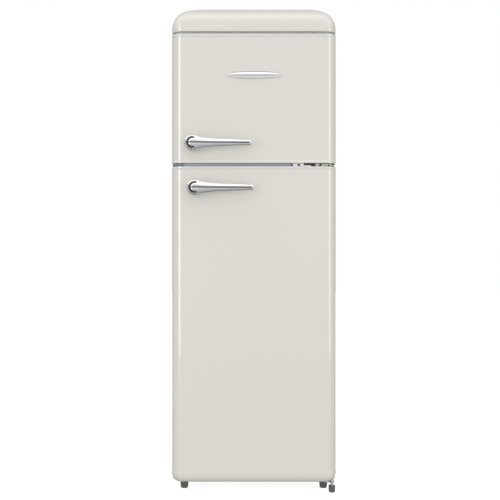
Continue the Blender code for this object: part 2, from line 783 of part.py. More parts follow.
def bottom_hinge():
    low = HINGE_PLATE_TOP - HINGE_PLATE
    back = CABINET_FRONT + FOOT_SETBACK - 2 * PIN_RADIUS
    form = plan_prism(hinge_plan(back), low, HINGE_PLATE_TOP)
    made = node("bottom_hinge", form, ZINC)
    join(made, hinge_pin(HINGE_PLATE_TOP - HINGE_PLATE / 2, FRIDGE_DOOR_LOW + PIN_ENTRY))


# Feet


def foot_profile(radius, height, stud_top):
    """A foot that narrows downward, with a round lower edge, under its threaded stud."""
    return [
        (radius * 0.78, 0.0),
        (radius * 0.90, height * 0.08),
        (radius * 0.94, height * 0.25),
        (radius, height * 0.85),
        (radius * 0.96, height),
        (STUD_RADIUS, height + FIT),
        (STUD_RADIUS, stud_top),
    ]


def foot(name, x, y, radius, height, top, axis=None):
    form = turned(foot_profile(radius, height, top), (x, y, 0), "Z", 18)
    node(name, form, FOOT_RUBBER, axis)


def feet():
    y = CABINET_FRONT + FOOT_SETBACK
    for name, side in (("front_foot_left", -1), ("front_foot_right", 1)):
        x = side * (WIDTH / 2 - FOOT_INSET)
        axis = joint_empty(name + "_axis", (x, y, 0))
        foot(name, x, y, FOOT_RADIUS, FOOT_HEIGHT, CABINET_LOW - FIT, axis)
    axis = joint_empty("hinge_foot_axis", (HINGE_X, HINGE_Y, 0))
    plate_low = HINGE_PLATE_TOP - HINGE_PLATE
    foot("hinge_foot", HINGE_X, HINGE_Y, HINGE_FOOT_RADIUS, HINGE_FOOT_HEIGHT, plate_low - FIT, axis)
    y = CABINET_BACK - FOOT_SETBACK
    for name, side in (("rear_foot_left", -1), ("rear_foot_right", 1)):
        x = side * (WIDTH / 2 - FOOT_INSET)
        foot(name, x, y, FOOT_RADIUS, FOOT_HEIGHT, CABINET_LOW + RAIL_RISE - FIT)


# Machine compartment and back


def compressor_rail():
    low = CABINET_LOW + RAIL_RISE
    form = across(INSIDE_HALF, STEP_FRONT + 0.008, CABINET_BACK - 0.005, low, low + RAIL_SHEET)
    node("compressor_rail", form, GALVANISED)


COMPRESSOR_LOW = CABINET_LOW + RAIL_RISE + RAIL_SHEET + FIT
COMPRESSOR_Y = STEP_FRONT + 0.012 + COMPRESSOR_RADIUS


def compressor():
    """A domed steel can on a foot plate."""
    radius = COMPRESSOR_RADIUS
    base = 0.012
    middle = COMPRESSOR_HEIGHT / 2
    profile = [(radius * 0.60, base), (radius * 0.85, base + 0.012), (radius * 0.98, base + 0.032)]
    profile += [(radius, middle), (radius * 0.97, middle + 0.002)]
    for i in range(1, 7):
        turn = math.pi / 2 * i / 6.5
        rise = (COMPRESSOR_HEIGHT - middle - 0.002) * math.sin(turn)
        profile.append((radius * 0.97 * math.cos(turn), middle + 0.002 + rise))
    form = turned(profile, (0, COMPRESSOR_Y, COMPRESSOR_LOW), "Z", 24)
    can = node("compressor", form, BLACK_STEEL)
    y0, y1 = COMPRESSOR_Y - 0.045, COMPRESSOR_Y + 0.045
    join(can, across(COMPRESSOR_FOOT_HALF, y0, y1, COMPRESSOR_LOW, COMPRESSOR_LOW + RAIL_SHEET))
    join(can, pin(radius * 0.5, (0, COMPRESSOR_Y, COMPRESSOR_LOW), 0.0015, base + 0.002))


def terminal_box():
    """The start relay's cover on the compressor's side, with the gland for the mains lead."""
    x0 = -COMPRESSOR_RADIUS - FIT
    z = COMPRESSOR_LOW + 0.035
    half = 0.026
    form = block((x0 - 0.032, COMPRESSOR_Y - half, z), (x0, COMPRESSOR_Y + half, z + 0.055))
    box = node("terminal_box", form, BLACK_STEEL)
    gland = (x0 - 0.016, COMPRESSOR_Y + half, z + 0.018)
    join(box, pin(0.008, gland, -0.002, 0.014, "Y"))


def drip_tray():
    low = COMPRESSOR_LOW + COMPRESSOR_HEIGHT + 0.002
    high = STEP_TOP - 0.010
    half, y0, y1 = 0.085, STEP_FRONT + 0.010, CABINET_BACK - 0.020
    tray = node("drip_tray", across(half, y0, y1, low, high), PLASTIC)
    wall = TRAY_WALL
    carve(tray, across(half - wall, y0 + wall, y1 - wall, low + wall, high + THROUGH))


def coil_route(half, y, low, high, runs):
    """The middle line of a serpentine of level runs, joined by half turns."""
    pitch = (high - low) / (runs - 1)
    straight = half - pitch / 2
    points = [(-half, y, low)]
    for turn in range(runs - 1):
        side = -1 if turn % 2 else 1
        middle = low + (turn + 0.5) * pitch
        for i in range(7):
            angle = math.pi * (i / 6 - 0.5)
            x = side * (straight + pitch / 2 * math.cos(angle))
            points.append((x, y, middle + pitch / 2 * math.sin(angle)))
    last = 1 if runs % 2 else -1
    return points + [(last * half, y, high)]


def flat_tube(points, radius, count=8):
    """A tube along points that all lie at one y."""
    rings = []
    for i, point in enumerate(points):
        before = Vector(points[max(i - 1, 0)])
        after = Vector(points[min(i + 1, len(points) - 1)])
        run = (after - before).normalized()
        out = Vector((-run.z, 0, run.x))
        ring = []
        for k in range(count):
            turn = 2 * math.pi * (k + 0.5) / count
            depth = Vector((0, radius * math.sin(turn), 0))
            ring.append(Vector(point) + radius * math.cos(turn) * out + depth)
        rings.append(ring)
    return loft(rings)


def condenser():
    """A serpentine of tube behind the back panel, on a frame of two uprights and a strap."""
    radius, half = COIL_RADIUS, COIL_HALF
    y = CABINET_BACK + REAR_STANDOFF - radius
    low, high = STEP_TOP + 0.050, CABINET_TOP - 0.090
    node("condenser_coil", flat_tube(coil_route(half, y, low, high, COIL_RUNS), radius), BLACK_STEEL)
    y0, y1 = CABINET_BACK + FIT, y - radius - FIT
    low, high = STEP_TOP + 0.020, CABINET_TOP - 0.060
    outer, inner = UPRIGHT_OUTER, UPRIGHT_OUTER - UPRIGHT_WIDTH
    frame = node("condenser_bracket", block((-outer, y0, low), (-inner, y1, high)), BLACK_STEEL)
    join(frame, block((inner, y0, low), (outer, y1, high)))
    middle = (outer + inner) / 2
    join(frame, across(middle, y0 + STRAP_SHEET / 3, y0 + STRAP_SHEET, high - 0.03, high - 0.01))


def filter_dryer():
    """The copper cartridge between the condenser and the capillary tube."""
    centre = (0.150, CABINET_BACK - 0.035, COMPRESSOR_LOW + 0.040)
    profile = [(0.003, 0.0), (0.003, 0.012), (0.009, 0.022), (0.009, 0.092), (0.003, 0.102), (0.003, 0.115)]
    node("filter_dryer", turned(profile, centre, "Z", 14), COPPER)


# Inside the compartments


def shelf(name, half, front, back, low):
    node(name, across(half, front, back, low, low + GLASS), GLASS_FINISH)


def shelves():
    half = CAVITY_HALF - 0.0015
    back = CAVITY_BACK - 0.012
    for name, rise in zip(("shelf_lower", "shelf_middle", "shelf_upper"), SHELF_RISES):
        shelf(name, half, SHELF_FRONT, back, FRIDGE_FLOOR + rise)
    shelf("crisper_cover", half, SHELF_FRONT, back, HUMP_TOP + COVER_RISE)
    shelf("freezer_shelf", half, SHELF_FRONT, back, FREEZER_FLOOR + FREEZER_SHELF_RISE)


def crisper_drawer(axis):
    half = CAVITY_HALF - 0.018
    low = FRIDGE_FLOOR + 0.0015
    front, back = SHELF_FRONT, HUMP_FRONT - 0.010
    high = low + DRAWER_HEIGHT
    drawer = node("crisper_drawer", across(half, front, back, low, high), CLEAR, axis)
    wall = DRAWER_WALL
    carve(drawer, across(half - wall, front + wall, back - wall, low + wall, high + THROUGH))
    lip = across(0.080, front - 0.008, front + wall / 2, high - 0.020, high - 0.002)
    join(drawer, lip)


def ice_tray():
    low = FREEZER_FLOOR + FREEZER_SHELF_RISE + GLASS + FIT
    half, high = ICE_TRAY_HALF, low + ICE_TRAY_HEIGHT
    y0 = SHELF_FRONT + ICE_TRAY_SETBACK
    y1 = y0 + ICE_TRAY_LENGTH
    tray = node("ice_tray", across(half, y0, y1, low, high), PLASTIC)
    wall = TRAY_WALL
    carve(tray, across(half - wall, y0 + wall, y1 - wall, low + wall, high + THROUGH))


HOUSING_FRONT = CABINET_FRONT + 0.165
HOUSING_LEFT = CAVITY_HALF - 0.070
HOUSING_LOW = FRIDGE_CEILING - 0.068
KNOB_AXIS = (HOUSING_LEFT, HOUSING_FRONT + 0.022, HOUSING_LOW + 0.034)


def thermostat(axis):
    """The control housing in the fridge compartment's upper corner, with its lamp and knob."""
    high, right = FRIDGE_CEILING - FIT, CAVITY_HALF - FIT
    back = HOUSING_FRONT + 0.120
    form = block((HOUSING_LEFT, HOUSING_FRONT, HOUSING_LOW), (right, back, high))
    housing = node("thermostat_housing", form, PLASTIC)
    y0, y1 = HOUSING_FRONT + 0.050, back - 0.008
    z0, z1 = HOUSING_LOW + 0.010, high - 0.010
    carve(housing, block((HOUSING_LEFT - 0.01, y0, z0), (right - 0.015, y1, z1)))
    carve(housing, pin(PIN_RADIUS + RUN, KNOB_AXIS, -0.01, 0.012, "X"))
    cover_x = HOUSING_LEFT - FIT
    form = block((cover_x - 0.0015, y0 - 0.003, z0 - 0.003), (cover_x, y1 + 0.003, z1 + 0.003))
    node("lamp_cover", form, CLEAR)
    bulb_centre = ((HOUSING_LEFT + right) / 2, y0 + 0.0006, (z0 + z1) / 2)
    profile = [(0.007, 0.0), (0.007, 0.012), (0.011, 0.020), (0.0125, 0.030), (0.010, 0.039), (0.004, 0.044)]
    node("lamp_bulb", turned(profile, bulb_centre, "Y", 14), GLASS_FINISH)
    profile = [(0.015, -0.014), (0.016, -0.012), (0.0165, -FIT), (PIN_RADIUS, -FIT), (PIN_RADIUS, 0.010)]
    knob = node("thermostat_knob", turned(profile, KNOB_AXIS, "X", 20), PLASTIC, axis)
    x = KNOB_AXIS[0] - 0.014
    rib = block((x - 0.006, KNOB_AXIS[1] - 0.013, KNOB_AXIS[2] - 0.002),
                (x + 0.001, KNOB_AXIS[1] + 0.013, KNOB_AXIS[2] + 0.002))
    join(knob, rib)


SWITCH_AXIS = (0.090, DOOR_BACK + CROSS_RIDGE_DEPTH + 0.001, FRIDGE_CEILING - 0.019)


def light_switch(axis):
    """The lamp's switch: the closed door's upper cross ridge holds its plunger in."""
    x, y, z = SWITCH_AXIS
    front = y + 0.010
    form = block((x - 0.011, front, z - 0.009), (x + 0.011, front + 0.034, FRIDGE_CEILING - FIT))
    housing = node("switch_housing", form, PLASTIC)
    carve(housing, pin(PIN_RADIUS + RUN, SWITCH_AXIS, 0.0, 0.040, "Y"))
    profile = [(0.0025, 0.0), (PIN_RADIUS, 0.0015), (PIN_RADIUS, 0.034)]
    node("light_switch_plunger", turned(profile, SWITCH_AXIS, "Y", 16), PLASTIC, axis)


def clear_scene():
    for old in list(bpy.data.objects):
        bpy.data.objects.remove(old, do_unlink=True)


def main():
    clear_scene()
    outer_wrap()
    back_panel()
    base_pan()
    cabinet_foam()
    node("evaporator_plate", evaporator_form(), ALUMINIUM)
    fridge_ribs = [FRIDGE_FLOOR + rise for rise in SHELF_RISES] + [HUMP_TOP + COVER_RISE]
    lips = (FRIDGE_FLOOR - LOWER_LIP, FRIDGE_CEILING + LIP)
    liner("fridge_liner", fridge_outline, *lips, fridge_ribs)
    lips = (FREEZER_FLOOR - LIP, CABINET_TOP - SIDE_FLANGE - FIT)
    liner("freezer_liner", freezer_outline, *lips, [FREEZER_FLOOR + FREEZER_SHELF_RISE])
    mullion_rail()
    top_cap()
    top_hinge()
    middle_hinge()
    bottom_hinge()
    feet()
    compressor_rail()
    compressor()
    terminal_box()
    drip_tray()
    condenser()
    filter_dryer()
    shelves()
    ice_tray()
    crisper_drawer(joint_empty("crisper_slide", (0, SHELF_FRONT, FRIDGE_FLOOR)))
    thermostat(joint_empty("thermostat_axis", KNOB_AXIS))
    light_switch(joint_empty("light_switch_slide", SWITCH_AXIS))
    freezer_door(joint_empty("freezer_door_axis", (HINGE_X, HINGE_Y, FREEZER_DOOR_LOW)))
    fridge_door(joint_empty("fridge_door_axis", (HINGE_X, HINGE_Y, FRIDGE_DOOR_LOW)))


main()
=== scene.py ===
import json
from math import asin, atan2, cos, degrees, hypot, pi, radians, sin, sqrt

import bmesh
import bpy
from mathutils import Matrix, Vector


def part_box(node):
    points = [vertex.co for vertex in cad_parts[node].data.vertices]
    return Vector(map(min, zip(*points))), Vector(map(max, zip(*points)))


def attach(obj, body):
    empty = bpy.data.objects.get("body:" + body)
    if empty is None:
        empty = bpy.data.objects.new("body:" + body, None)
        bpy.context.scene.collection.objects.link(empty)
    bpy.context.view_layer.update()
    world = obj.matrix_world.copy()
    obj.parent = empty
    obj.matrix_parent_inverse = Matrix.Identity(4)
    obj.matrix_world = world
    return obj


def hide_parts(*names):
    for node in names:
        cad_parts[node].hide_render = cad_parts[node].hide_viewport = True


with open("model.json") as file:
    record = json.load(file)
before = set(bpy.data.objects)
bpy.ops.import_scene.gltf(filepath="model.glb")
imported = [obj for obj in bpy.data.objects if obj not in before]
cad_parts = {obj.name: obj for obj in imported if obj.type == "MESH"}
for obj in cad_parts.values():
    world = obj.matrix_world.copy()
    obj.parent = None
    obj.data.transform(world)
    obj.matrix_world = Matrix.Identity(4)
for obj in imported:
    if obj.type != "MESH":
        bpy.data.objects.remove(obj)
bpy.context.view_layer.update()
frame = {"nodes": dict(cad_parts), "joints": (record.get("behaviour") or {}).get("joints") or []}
cadNodes = frame["nodes"]
print("frame loaded:", len(cadNodes), "nodes")


def linked(name, data):
    # an object in the scene
    made = bpy.data.objects.new(name, data)
    bpy.context.scene.collection.objects.link(made)
    return made


def lowOf(node):
    return Vector(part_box(node)[0])


def highOf(node):
    return Vector(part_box(node)[1])


# ---- node benches: one class for sockets, one for trees

def bothWays(operation):
    # a Math node for an operator, and for its reflected form
    return (lambda self, other: self.calc(operation, self, other),
            lambda self, other: self.calc(operation, other, self))


class Wire:
    # an output socket; arithmetic on it adds Math nodes to its bench
    def __init__(self, bench, socket):
        self.bench, self.socket = bench, socket

    def calc(self, operation, first, second=None):
        values = {0: first} if second is None else {0: first, 1: second}
        return self.bench.add("ShaderNodeMath", {"operation": operation}, values)

    __add__, __radd__ = bothWays("ADD")
    __sub__, __rsub__ = bothWays("SUBTRACT")
    __mul__, __rmul__ = bothWays("MULTIPLY")
    __truediv__, __rtruediv__ = bothWays("DIVIDE")
    __gt__, __lt__ = bothWays("GREATER_THAN")

    def __neg__(self):
        return self * -1.0

    def __abs__(self):
        return self.calc("ABSOLUTE", self)


class Bench:
    # a node tree; every node other than Math arithmetic comes from add
    def __init__(self, tree):
        self.tree = tree

    def add(self, kind, settings=None, values=None, out=0):
        made = self.tree.nodes.new(kind)
        for key, value in (settings or {}).items():
            if key == "stops":
                self.setStops(made.color_ramp, value)
            else:
                setattr(made, key, value)
        for key, value in (values or {}).items():
            self.feed(made.inputs[key], value)
        return Wire(self, made.outputs[out])

    def setStops(self, ramp, stops):
        while len(ramp.elements) < len(stops):
            ramp.elements.new(0.5)
        for element, (place, colour) in zip(ramp.elements, stops):
            element.position = place
            element.color = (*colour, 1.0)

    def feed(self, socket, value):
        if isinstance(value, Wire):
            self.tree.links.new(value.socket, socket)
        else:
            socket.default_value = value

    def other(self, wire, name):
        return Wire(self, wire.socket.node.outputs[name])


# ---- materials

class Finish(Bench):
    # a Principled material with Object coordinates at hand
    def __init__(self, name, colour, roughness, metallic=0.0, constants=None):
        self.material = bpy.data.materials.new(name)
        self.material.use_nodes = True
        super().__init__(self.material.node_tree)
        self.shader = self.tree.nodes["Principled BSDF"]
        self.colour = self.material.diffuse_color = (*colour, 1.0)
        basics = {"Base Color": self.colour, "Roughness": roughness, "Metallic": metallic}
        for key, value in {**basics, **(constants or {})}.items():
            self.set(key, value)
        self.place = self.add("ShaderNodeTexCoord", out="Object")

    def mask(self, scale, detail):
        # noise, drawn out where scale has three numbers; cells where detail names a feature
        place = self.place
        if isinstance(scale, tuple):
            place = self.add("ShaderNodeMapping", None, {"Vector": place, "Scale": scale})
            scale = 1.0
        if isinstance(detail, str):
            return self.add("ShaderNodeTexVoronoi", {"feature": detail}, {"Vector": place, "Scale": scale},
                            "Distance")
        values = {"Vector": place, "Scale": scale, "Detail": detail, "Roughness": 0.5}
        return self.add("ShaderNodeTexNoise", None, values, "Fac")

    def tint(self, scale, detail, *tones):
        # from one tone to another, or with a single number from darker by that share to the base colour
        if len(tones) == 1:
            tones = [tuple(c * (1 - tones[0]) for c in self.colour[:3]), self.colour[:3]]
        mix = self.add("ShaderNodeMix", {"data_type": "RGBA"}, {"Factor": self.mask(scale, detail)}).socket.node
        mix.inputs[6].default_value, mix.inputs[7].default_value = (*tones[0], 1.0), (*tones[1], 1.0)
        self.set("Base Color", Wire(self, mix.outputs[2]))

    def gloss(self, scale, detail, low, high):
        values = {"Value": self.mask(scale, detail), "To Min": low, "To Max": high}
        self.set("Roughness", self.add("ShaderNodeMapRange", {"clamp": True}, values))

    def relief(self, scale, detail, distance, strength):
        values = {"Height": self.mask(scale, detail), "Distance": distance, "Strength": strength}
        self.set("Normal", self.add("ShaderNodeBump", None, values))

    def set(self, name, value):
        self.feed(self.shader.inputs[name], value)


drawn, rolled, polished = (6.0, 700.0, 700.0), (8.0, 600.0, 600.0), (40.0, 900.0, 900.0)
# name: record slot, colour, roughness, metallic; then what tint, gloss and relief take; then constants
finishDesign = {
    # sprayed gloss enamel: faint orange peel and slow drifts of tone
    "enamelGloss": ("enamel", (0.668, 0.648, 0.598), 0.30, 0.0, (3.0, 3.0, 0.025), (40.0, 3.0, 0.26, 0.34),
                    (420.0, 1.0, 0.00006, 0.35),
                    {"Coat Weight": 0.8, "Coat IOR": 2.0, "Coat Roughness": 0.10}),
    # the cabinet's sides: the same colour in a fine stucco-grain paint
    "cabinetPaint": ("cabinet_paint", (0.64, 0.62, 0.575), 0.42, 0.0, (5.0, 3.0, 0.03),
                     (60.0, 3.0, 0.36, 0.50), (900.0, "SMOOTH_F1", 0.00012, 0.5)),
    # polished plating, with the faintest haze and polishing marks
    "chromePlate": ("chrome", (0.86, 0.86, 0.87), 0.06, 1.0, None, (30.0, 4.0, 0.035, 0.11),
                    (polished, 2.0, 0.00002, 0.15)),
    # zinc plate: soft spangle and a slight yellow-blue drift
    "zincPlate": ("zinc", (0.62, 0.62, 0.61), 0.3, 1.0, (25.0, 2.0, (0.56, 0.57, 0.60), (0.68, 0.66, 0.60)),
                  (160.0, "F1", 0.22, 0.42), (500.0, 2.0, 0.00004, 0.4)),
    # vacuum-formed polystyrene: cool white, softly glossy, faint flow marks
    "formedLiner": ("white_plastic", (0.80, 0.81, 0.82), 0.32, 0.0, (6.0, 2.0, 0.03),
                    (18.0, 3.0, 0.26, 0.40), (120.0, 2.0, 0.0001, 0.25)),
    # injection-moulded white plastic with a fine spark-eroded grain
    "mouldedWhite": ("white_plastic", (0.78, 0.79, 0.79), 0.4, 0.0, (12.0, 2.0, 0.03),
                     (45.0, 2.0, 0.34, 0.48), (1500.0, "F1", 0.00005, 0.4)),
    # soft gasket: pale grey, dusty in its folds
    "gasketVinyl": ("seal", (0.60, 0.60, 0.59), 0.6, 0.0, (35.0, 4.0, 0.14), (60.0, 3.0, 0.5, 0.72),
                    (700.0, 2.0, 0.00008, 0.4)),
    # toughened shelf glass, faintly green
    "shelfGlass": ("shelf_glass", (0.86, 0.95, 0.92), 0.04, 0.0, None, (14.0, 3.0, 0.02, 0.07), None,
                   {"IOR": 1.5, "Transmission Weight": 0.92, "Alpha": 0.45}),
    # clear styrene: bins and drawer, and frosted for the lamp cover
    "clearStyrene": ("clear_plastic", (0.90, 0.93, 0.95), 0.12, 0.0, None, (25.0, 3.0, 0.07, 0.18),
                     (90.0, 1.0, 0.00015, 0.2), {"IOR": 1.55, "Transmission Weight": 0.75, "Alpha": 0.42}),
    "frostedCover": ("clear_plastic", (0.93, 0.94, 0.93), 0.12, 0.0, None, (25.0, 3.0, 0.07, 0.18),
                     (90.0, 1.0, 0.00015, 0.2), {"IOR": 1.55, "Transmission Weight": 0.75, "Alpha": 0.75}),
    # dipped black paint: compressor, condenser and its frame
    "blackSteelPaint": ("black_steel", (0.022, 0.022, 0.024), 0.38, 0.0, (22.0, 4.0, 0.35),
                        (35.0, 4.0, 0.28, 0.55), (260.0, 3.0, 0.0001, 0.35)),
    # tarnished pipes
    "bareCopper": ("copper", (0.76, 0.40, 0.26), 0.3, 1.0, (30.0, 5.0, (0.36, 0.19, 0.13), (0.86, 0.50, 0.34)),
                   (30.0, 5.0, 0.22, 0.5), (400.0, 2.0, 0.00005, 0.4)),
    # glass-filled nylon, grey-green and matt, with scuffs
    "footNylon": ("foot_plastic", (0.115, 0.122, 0.108), 0.55, 0.0, (60.0, 4.0, 0.25),
                  (90.0, 3.0, 0.45, 0.7), (600.0, 3.0, 0.0001, 0.5)),
    # hot-dip sheet: crystal spangle in tone, roughness and relief
    "galvanisedSheet": ("galvanised", (0.55, 0.56, 0.57), 0.4, 0.85,
                        (55.0, "F1", (0.66, 0.67, 0.69), (0.46, 0.47, 0.48)), (55.0, "F1", 0.30, 0.52),
                        (55.0, "F1", 0.0001, 0.25)),
    "millAluminium": ("aluminium", (0.75, 0.76, 0.77), 0.35, 1.0, None, (rolled, 3.0, 0.28, 0.45),
                      (rolled, 3.0, 0.00005, 0.4)),
    "rigidFoam": (None, (0.80, 0.70, 0.45), 0.9, 0.0, (40.0, 4.0, 0.2), None, (260.0, "F1", 0.0008, 0.7)),
    # small dark mouldings, rubber and ink; and the painted shade and painted reflection on the levers
    "blackRubber": ("foot_plastic", (0.025, 0.025, 0.026), 0.6, 0.0, (50.0, 3.0, 0.3),
                    (70.0, 3.0, 0.52, 0.7), (500.0, 2.0, 0.00006, 0.4)),
    # painted shade and painted reflection: the dark crescent in each lever's bulb and the dark line along the
    # lever
    "darkSeam": (None, (0.03, 0.03, 0.032), 0.35, 0.0, (50.0, 3.0, 0.3), (70.0, 3.0, 0.27, 0.45),
                 (500.0, 2.0, 0.00006, 0.4)),
    "dialInk": ("white_plastic", (0.05, 0.07, 0.12), 0.5, 0.0, (50.0, 3.0, 0.3), (70.0, 3.0, 0.42, 0.6),
                (500.0, 2.0, 0.00006, 0.4)),
    "pearlBulb": ("shelf_glass", (0.92, 0.90, 0.84), 0.25, 0.0, (50.0, 2.0, 0.04), None,
                  (300.0, 1.0, 0.00003, 0.3)),
    "knobWhite": ("white_plastic", (0.83, 0.84, 0.84), 0.3, 0.0, (80.0, 2.0, 0.03),
                  (120.0, 2.0, 0.26, 0.36), (900.0, 1.0, 0.00003, 0.3)),
    # anodised strip and its end cap: cool blue-grey with drawn lines along it, partly their own colour and
    # partly painted shade of the door gap; the cap a darker copy
    "drawnStrip": ("cabinet_paint", (0.2774, 0.2964, 0.361), 0.34, 0.25,
                   (drawn, 2.0, (0.2508, 0.2698, 0.3344), (0.304, 0.323, 0.3876)), (drawn, 2.0, 0.28, 0.42),
                   (drawn, 2.0, 0.00004, 0.4)),
    "drawnCap": ("cabinet_paint", (0.219, 0.234, 0.285), 0.34, 0.25,
                 (drawn, 2.0, (0.198, 0.213, 0.264), (0.24, 0.255, 0.306)), (drawn, 2.0, 0.28, 0.42),
                 (drawn, 2.0, 0.00004, 0.4)),
}


def makeFinish(name):
    # the first entry, the record slot, is not read here
    colour, roughness, metallic, tint, gloss, relief, *constants = finishDesign[name][1:]
    finish = Finish(name, colour, roughness, metallic, *constants)
    for apply, values in ((finish.tint, tint), (finish.gloss, gloss), (finish.relief, relief)):
        if values:
            apply(*values)
    return finish.material


(enamel, cabinetPaint, chrome, zinc, linerWhite, mouldedWhite, sealGrey, shelfGlass, clearStyrene,
 frostedCover, blackSteel, copper, footNylon, galvanised, millAluminium, foamYellow, blackRubber, darkSeam,
 dialInk, pearl, knobWhite, stripBlueAndPaintedShade, capBlueAndPaintedShade) = [makeFinish(name) for name in finishDesign]
print("materials made")


# ---- forms: closed shapes gathered in one mesh, then made a piece

class Form:
    # each shape method adds to the mesh and returns the form
    def __init__(self, mesh=None):
        self.mesh = mesh or bmesh.new()

    def block(self, low, high, edge=0.0008, segments=2):
        # a block with rounded edges
        low, high = Vector(low), Vector(high)
        corners = [[(high if k & bit else low)[i] for i, bit in enumerate((1, 2, 4))] for k in range(8)]
        verts = [self.mesh.verts.new(c) for c in corners]
        sides = ((0, 2, 3, 1), (4, 5, 7, 6), (0, 1, 5, 4), (2, 6, 7, 3), (0, 4, 6, 2), (1, 3, 7, 5))
        faces = [self.mesh.faces.new([verts[i] for i in side]) for side in sides]
        edges = list({e for face in faces for e in face.edges})
        reach = min(high - low) * 0.45
        if edge > 0:
            bmesh.ops.bevel(self.mesh, geom=edges, offset=min(edge, reach), segments=segments,
                            affect="EDGES", profile=0.5)
        return self

    def loft(self, rings):
        # rings of as many points each, closed by a face at either end
        loops = [[self.mesh.verts.new(p) for p in ring] for ring in rings]
        for lower, upper in zip(loops, loops[1:]):
            for i in range(len(lower)):
                j = (i + 1) % len(lower)
                self.mesh.faces.new((lower[i], lower[j], upper[j], upper[i]))
        self.mesh.faces.new(loops[0][::-1])
        self.mesh.faces.new(loops[-1])
        return self

    def turned(self, profile, centre, axis, segments, grips=None):
        # rings of (radius, distance along the axis)
        # grips: how many, how deep, and where along the axis they begin and end
        count, depth, start, end = grips or (0, 0.0, 0.0, 0.0)
        rings = []
        for radius, along in profile:
            ring = []
            for i in range(segments):
                turn = 2 * pi * i / segments
                reach = radius - (depth * (0.5 + 0.5 * cos(turn * count)) if start < along < end else 0.0)
                a, b = reach * cos(turn), reach * sin(turn)
                offset = {"X": (along, a, b), "Y": (a, along, b), "Z": (a, b, along)}[axis]
                ring.append(Vector(centre) + Vector(offset))
            rings.append(ring)
        return self.loft(rings)

    def tube(self, points, radius, segments=12):
        # a round tube along a smooth row of points
        points = [Vector(p) for p in points]
        rings, side = [], None
        for i, point in enumerate(points):
            run = (points[min(i + 1, len(points) - 1)] - points[max(i - 1, 0)]).normalized()
            if side is None:
                side = run.orthogonal().normalized()
            side = (side - run * side.dot(run)).normalized()
            up = run.cross(side)
            turns = [2 * pi * k / segments for k in range(segments)]
            rings.append([point + radius * (cos(t) * side + sin(t) * up) for t in turns])
        return self.loft(rings)

    def piece(self, name, material, node=None, body="cabinet", crease=32, slotName=None):
        # merges what coincides and makes the shape a piece
        bmesh.ops.remove_doubles(self.mesh, verts=self.mesh.verts, dist=1e-7)
        bmesh.ops.recalc_face_normals(self.mesh, faces=self.mesh.faces)
        mesh = bpy.data.meshes.new(name)
        self.mesh.to_mesh(mesh)
        self.mesh.free()
        return settle(name, mesh, material, node, body, crease)


def settle(name, mesh, material, node=None, body="cabinet", crease=32):
    # a finished mesh as a piece on its body, and node is what it replaces
    mesh.shade_smooth()
    mesh.set_sharp_from_angle(angle=radians(crease))
    mesh.materials.clear()
    mesh.materials.append(material)
    made = linked(name, mesh)
    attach(made, body)
    if node:
        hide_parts(node)
    return made


def endsOf(node):
    return lowOf(node), highOf(node)


def middleOf(node):
    return (lowOf(node) + highOf(node)) / 2


def spread(start, end, steps):
    # evenly spaced values, both ends included
    return [start + (end - start) * i / steps for i in range(steps + 1)]


def arc(centre, radius, start, end, steps):
    # (x, y) points from one angle to another, in degrees
    turns = [radians(turn) for turn in spread(start, end, steps)]
    return [(centre[0] + radius * cos(t), centre[1] + radius * sin(t)) for t in turns]


def roundCorners(low, high, radius, steps):
    # a rectangle's outline with four round corners
    corners = ((high[0], high[1], 0), (low[0], high[1], 90), (low[0], low[1], 180), (high[0], low[1], 270))
    points = []
    for x, y, start in corners:
        centre = (x - radius if x == high[0] else x + radius, y - radius if y == high[1] else y + radius)
        points += arc(centre, radius, start, start + 90, steps)
    return points


def quarter(steps):
    return spread(0.0, pi / 2, steps)


def smoothPath(points, steps=8):
    # a Catmull-Rom curve through the points
    points = [Vector(p) for p in points]
    ends = [2 * points[0] - points[1]] + points + [2 * points[-1] - points[-2]]
    made = []
    for a, b, c, d in zip(ends, ends[1:], ends[2:], ends[3:]):
        for i in range(steps):
            t = i / steps
            made.append(0.5 * (2 * b + (c - a) * t + (2 * a - 5 * b + 4 * c - d) * t * t
                               + (3 * b - a - 3 * c + d) * t ** 3))
    return made + [points[-1]]


# ---- camera, floor and light

cameraDesign = {"place": (-0.013, -3.2335, 0.809), "lens": 64.7, "sensor": 36.0}
floorDesign = {"half": 14.0, "colour": (0.42, 0.42, 0.415), "glow": 0.86, "roughness": 0.6}
lightDesign = {
    "leftBox": {"place": (-2.3, -3.4, 1.3), "size": (1.1, 2.6), "power": 22.0},
    "rightBox": {"place": (3.0, -2.6, 1.3), "size": (0.9, 2.6), "power": 15.0},
    "overhead": {"place": (0.0, -1.6, 3.6), "size": (3.0, 2.2), "power": 3.5},
}
roomDesign = {
    "even": 1.06, "sideLoss": 0.20, "lowLoss": 0.34,  # what lights matt surfaces
    "gain": 1.35, "behindLoss": 0.62,
    "mirror": ((0.00, 0.15), (0.10, 0.23), (0.24, 0.34), (0.40, 0.42), (0.50, 0.50), (0.63, 0.50),
               (0.70, 0.88), (0.90, 0.98), (0.98, 0.60), (1.00, 0.35)),  # what gloss sees, upwards
    "sides": 0.42,
}


def makeCamera():
    data = bpy.data.cameras.new("studioCamera")
    data.lens = cameraDesign["lens"]
    data.sensor_width = cameraDesign["sensor"]
    camera = linked("studioCamera", data)
    camera.location = cameraDesign["place"]
    camera.rotation_euler = (radians(90), 0, 0)
    bpy.context.scene.camera = camera


def makeFloor():
    # pale, and glowing a little so that it stays white under the soft shadow
    half = floorDesign["half"]
    mesh = bpy.data.meshes.new("studioFloor")
    corners = [(-half, -half, 0), (half, -half, 0), (half, half, 0), (-half, half, 0)]
    mesh.from_pydata(corners, [], [(0, 1, 2, 3)])
    f = Finish("paleFloor", floorDesign["colour"], floorDesign["roughness"])
    f.tint(2.0, 2.0, 0.01)
    f.shader.inputs["Emission Color"].default_value = (1.0, 1.0, 1.0, 1.0)
    f.shader.inputs["Emission Strength"].default_value = floorDesign["glow"]
    mesh.materials.append(f.material)
    floor = linked("studioFloor", mesh)
    floor.visible_glossy = floor.visible_diffuse = False


